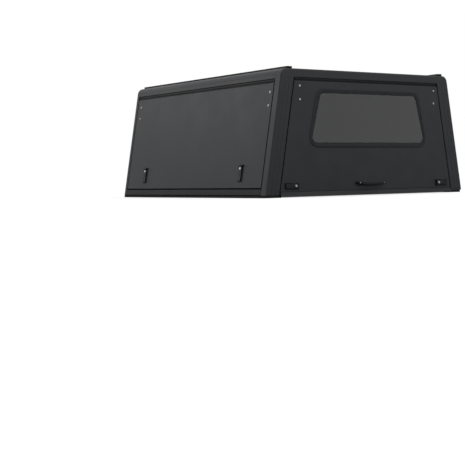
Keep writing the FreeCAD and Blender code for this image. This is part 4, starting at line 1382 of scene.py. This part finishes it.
@dataclass(frozen=True)
class PullHandle:
    """The rear door's pull handle: a bowed grip between two feet, with a screw in each foot."""

    half: float = 118 * MM
    foot: float = 62 * MM
    top: float = 86 * MM
    top_drop: float = 2 * MM
    reach: float = 28 * MM
    grip: float = 12 * MM
    grip_end: Pair = (70 * MM, 84 * MM)
    shoulder: Pair = (74 * MM, 90 * MM)
    foot_height: float = 21 * MM
    end_round: float = 9 * MM
    end_past: float = 0.5 * MM
    taper: float = 74 * MM
    taper_rise: float = 8 * MM
    power: float = 4.5
    sections: int = 121
    screw_place: float = 100 * MM
    screw: float = 2.2 * MM
    screw_sink: float = 0.3 * MM

    def make(self) -> bpy.types.Object:
        """The handle: superellipse sections along X between an inner and an outer face.

        The outer face is high along the grip, lower on the feet and rounded down at the ends. The inner face
        lies on the skin under the feet and off it under the grip. The lower edge rises towards the ends.

        Returns:
            The handle's piece.
        """
        along = self.half * np.sin(np.linspace(-math.pi / 2, math.pi / 2, self.sections))
        out = np.abs(along)
        fall = smooth_step(out, self.half - self.end_round, self.half + self.end_past)
        end = np.sqrt(np.clip(1 - fall ** 2, 0.0, 1))
        drop = (self.reach - self.foot_height) * smooth_step(out, *self.shoulder)
        outer = (self.reach - drop) * end
        inner = (self.reach - self.grip) * (1 - smooth_step(out, *self.grip_end))
        rise = self.taper_rise * smooth_step(out, self.half - self.taper, self.half)
        low, high = self.foot + rise, self.top - self.top_drop * (1 - end)
        across, upward = pillow_section((high - low) / 2, (outer - inner) / 2, self.power)
        up = (high + low)[:, None] / 2 + across
        depth = (outer + inner)[:, None] / 2 + upward
        grid = REAR_WALL.place(along[:, None], up, depth)
        return Surfaces().add_tube(grid).build("rear_pull_handle_moulded", SHARP_MOULDED)

    def dress_all(self, finishes: Finishes) -> None:
        """Show the handle and its screws.

        Args:
            finishes: the materials.
        """
        handle = self.make()
        dress(handle, "rear_door", finishes.latch)
        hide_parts("rear_pull_handle")
        shapes = Surfaces()
        level = (self.foot + self.top) / 2 + self.taper_rise / 4
        screw = Bolt(REAR_WALL, self.screw, self.foot_height - self.screw_sink)
        for sign in (-1, 1):
            screw.add(shapes, sign * self.screw_place, level)
        dress(shapes.build("rear_pull_handle_screws"), "rear_door", finishes.metal)


def latch_sets() -> list[LatchSet]:
    """The three doors' latches: upright ones on the sides and level ones on the rear door.

    Returns:
        A set for each door.
    """
    sets = []
    for hand in Hand:
        door = f"{hand.word}_door"
        paddles = tuple(f"{door}_paddle_{end}" for end in ("rear", "front"))
        sets.append(LatchSet(door, side_wall(hand), ((0.0, 1.0), (0.0, 1.0)), paddles))
    paddles = tuple(f"rear_door_paddle_{hand.word}" for hand in Hand)
    sets.append(LatchSet("rear_door", REAR_WALL, ((1.0, 0.0), (-1.0, 0.0)), paddles))
    return sets


def main() -> None:
    """Build the studio and the canopy in order."""
    logging.basicConfig(level=logging.INFO, format="%(message)s")
    finishes = Finishes()
    Studio().build(finishes.floor)
    SheetMetal().dress_all(finishes)
    RoofTracks().dress_all(finishes)
    Window("front", "frame", FRONT_WALL).dress_all(finishes)
    Window("rear", "rear_door", REAR_WALL).dress_all(finishes)
    Seals().dress_all(finishes)
    for latches in latch_sets():
        latches.dress_all(finishes)
    StrutBolts().dress_all(finishes)
    PullHandle().dress_all(finishes)


if __name__ == "__main__":
    main()
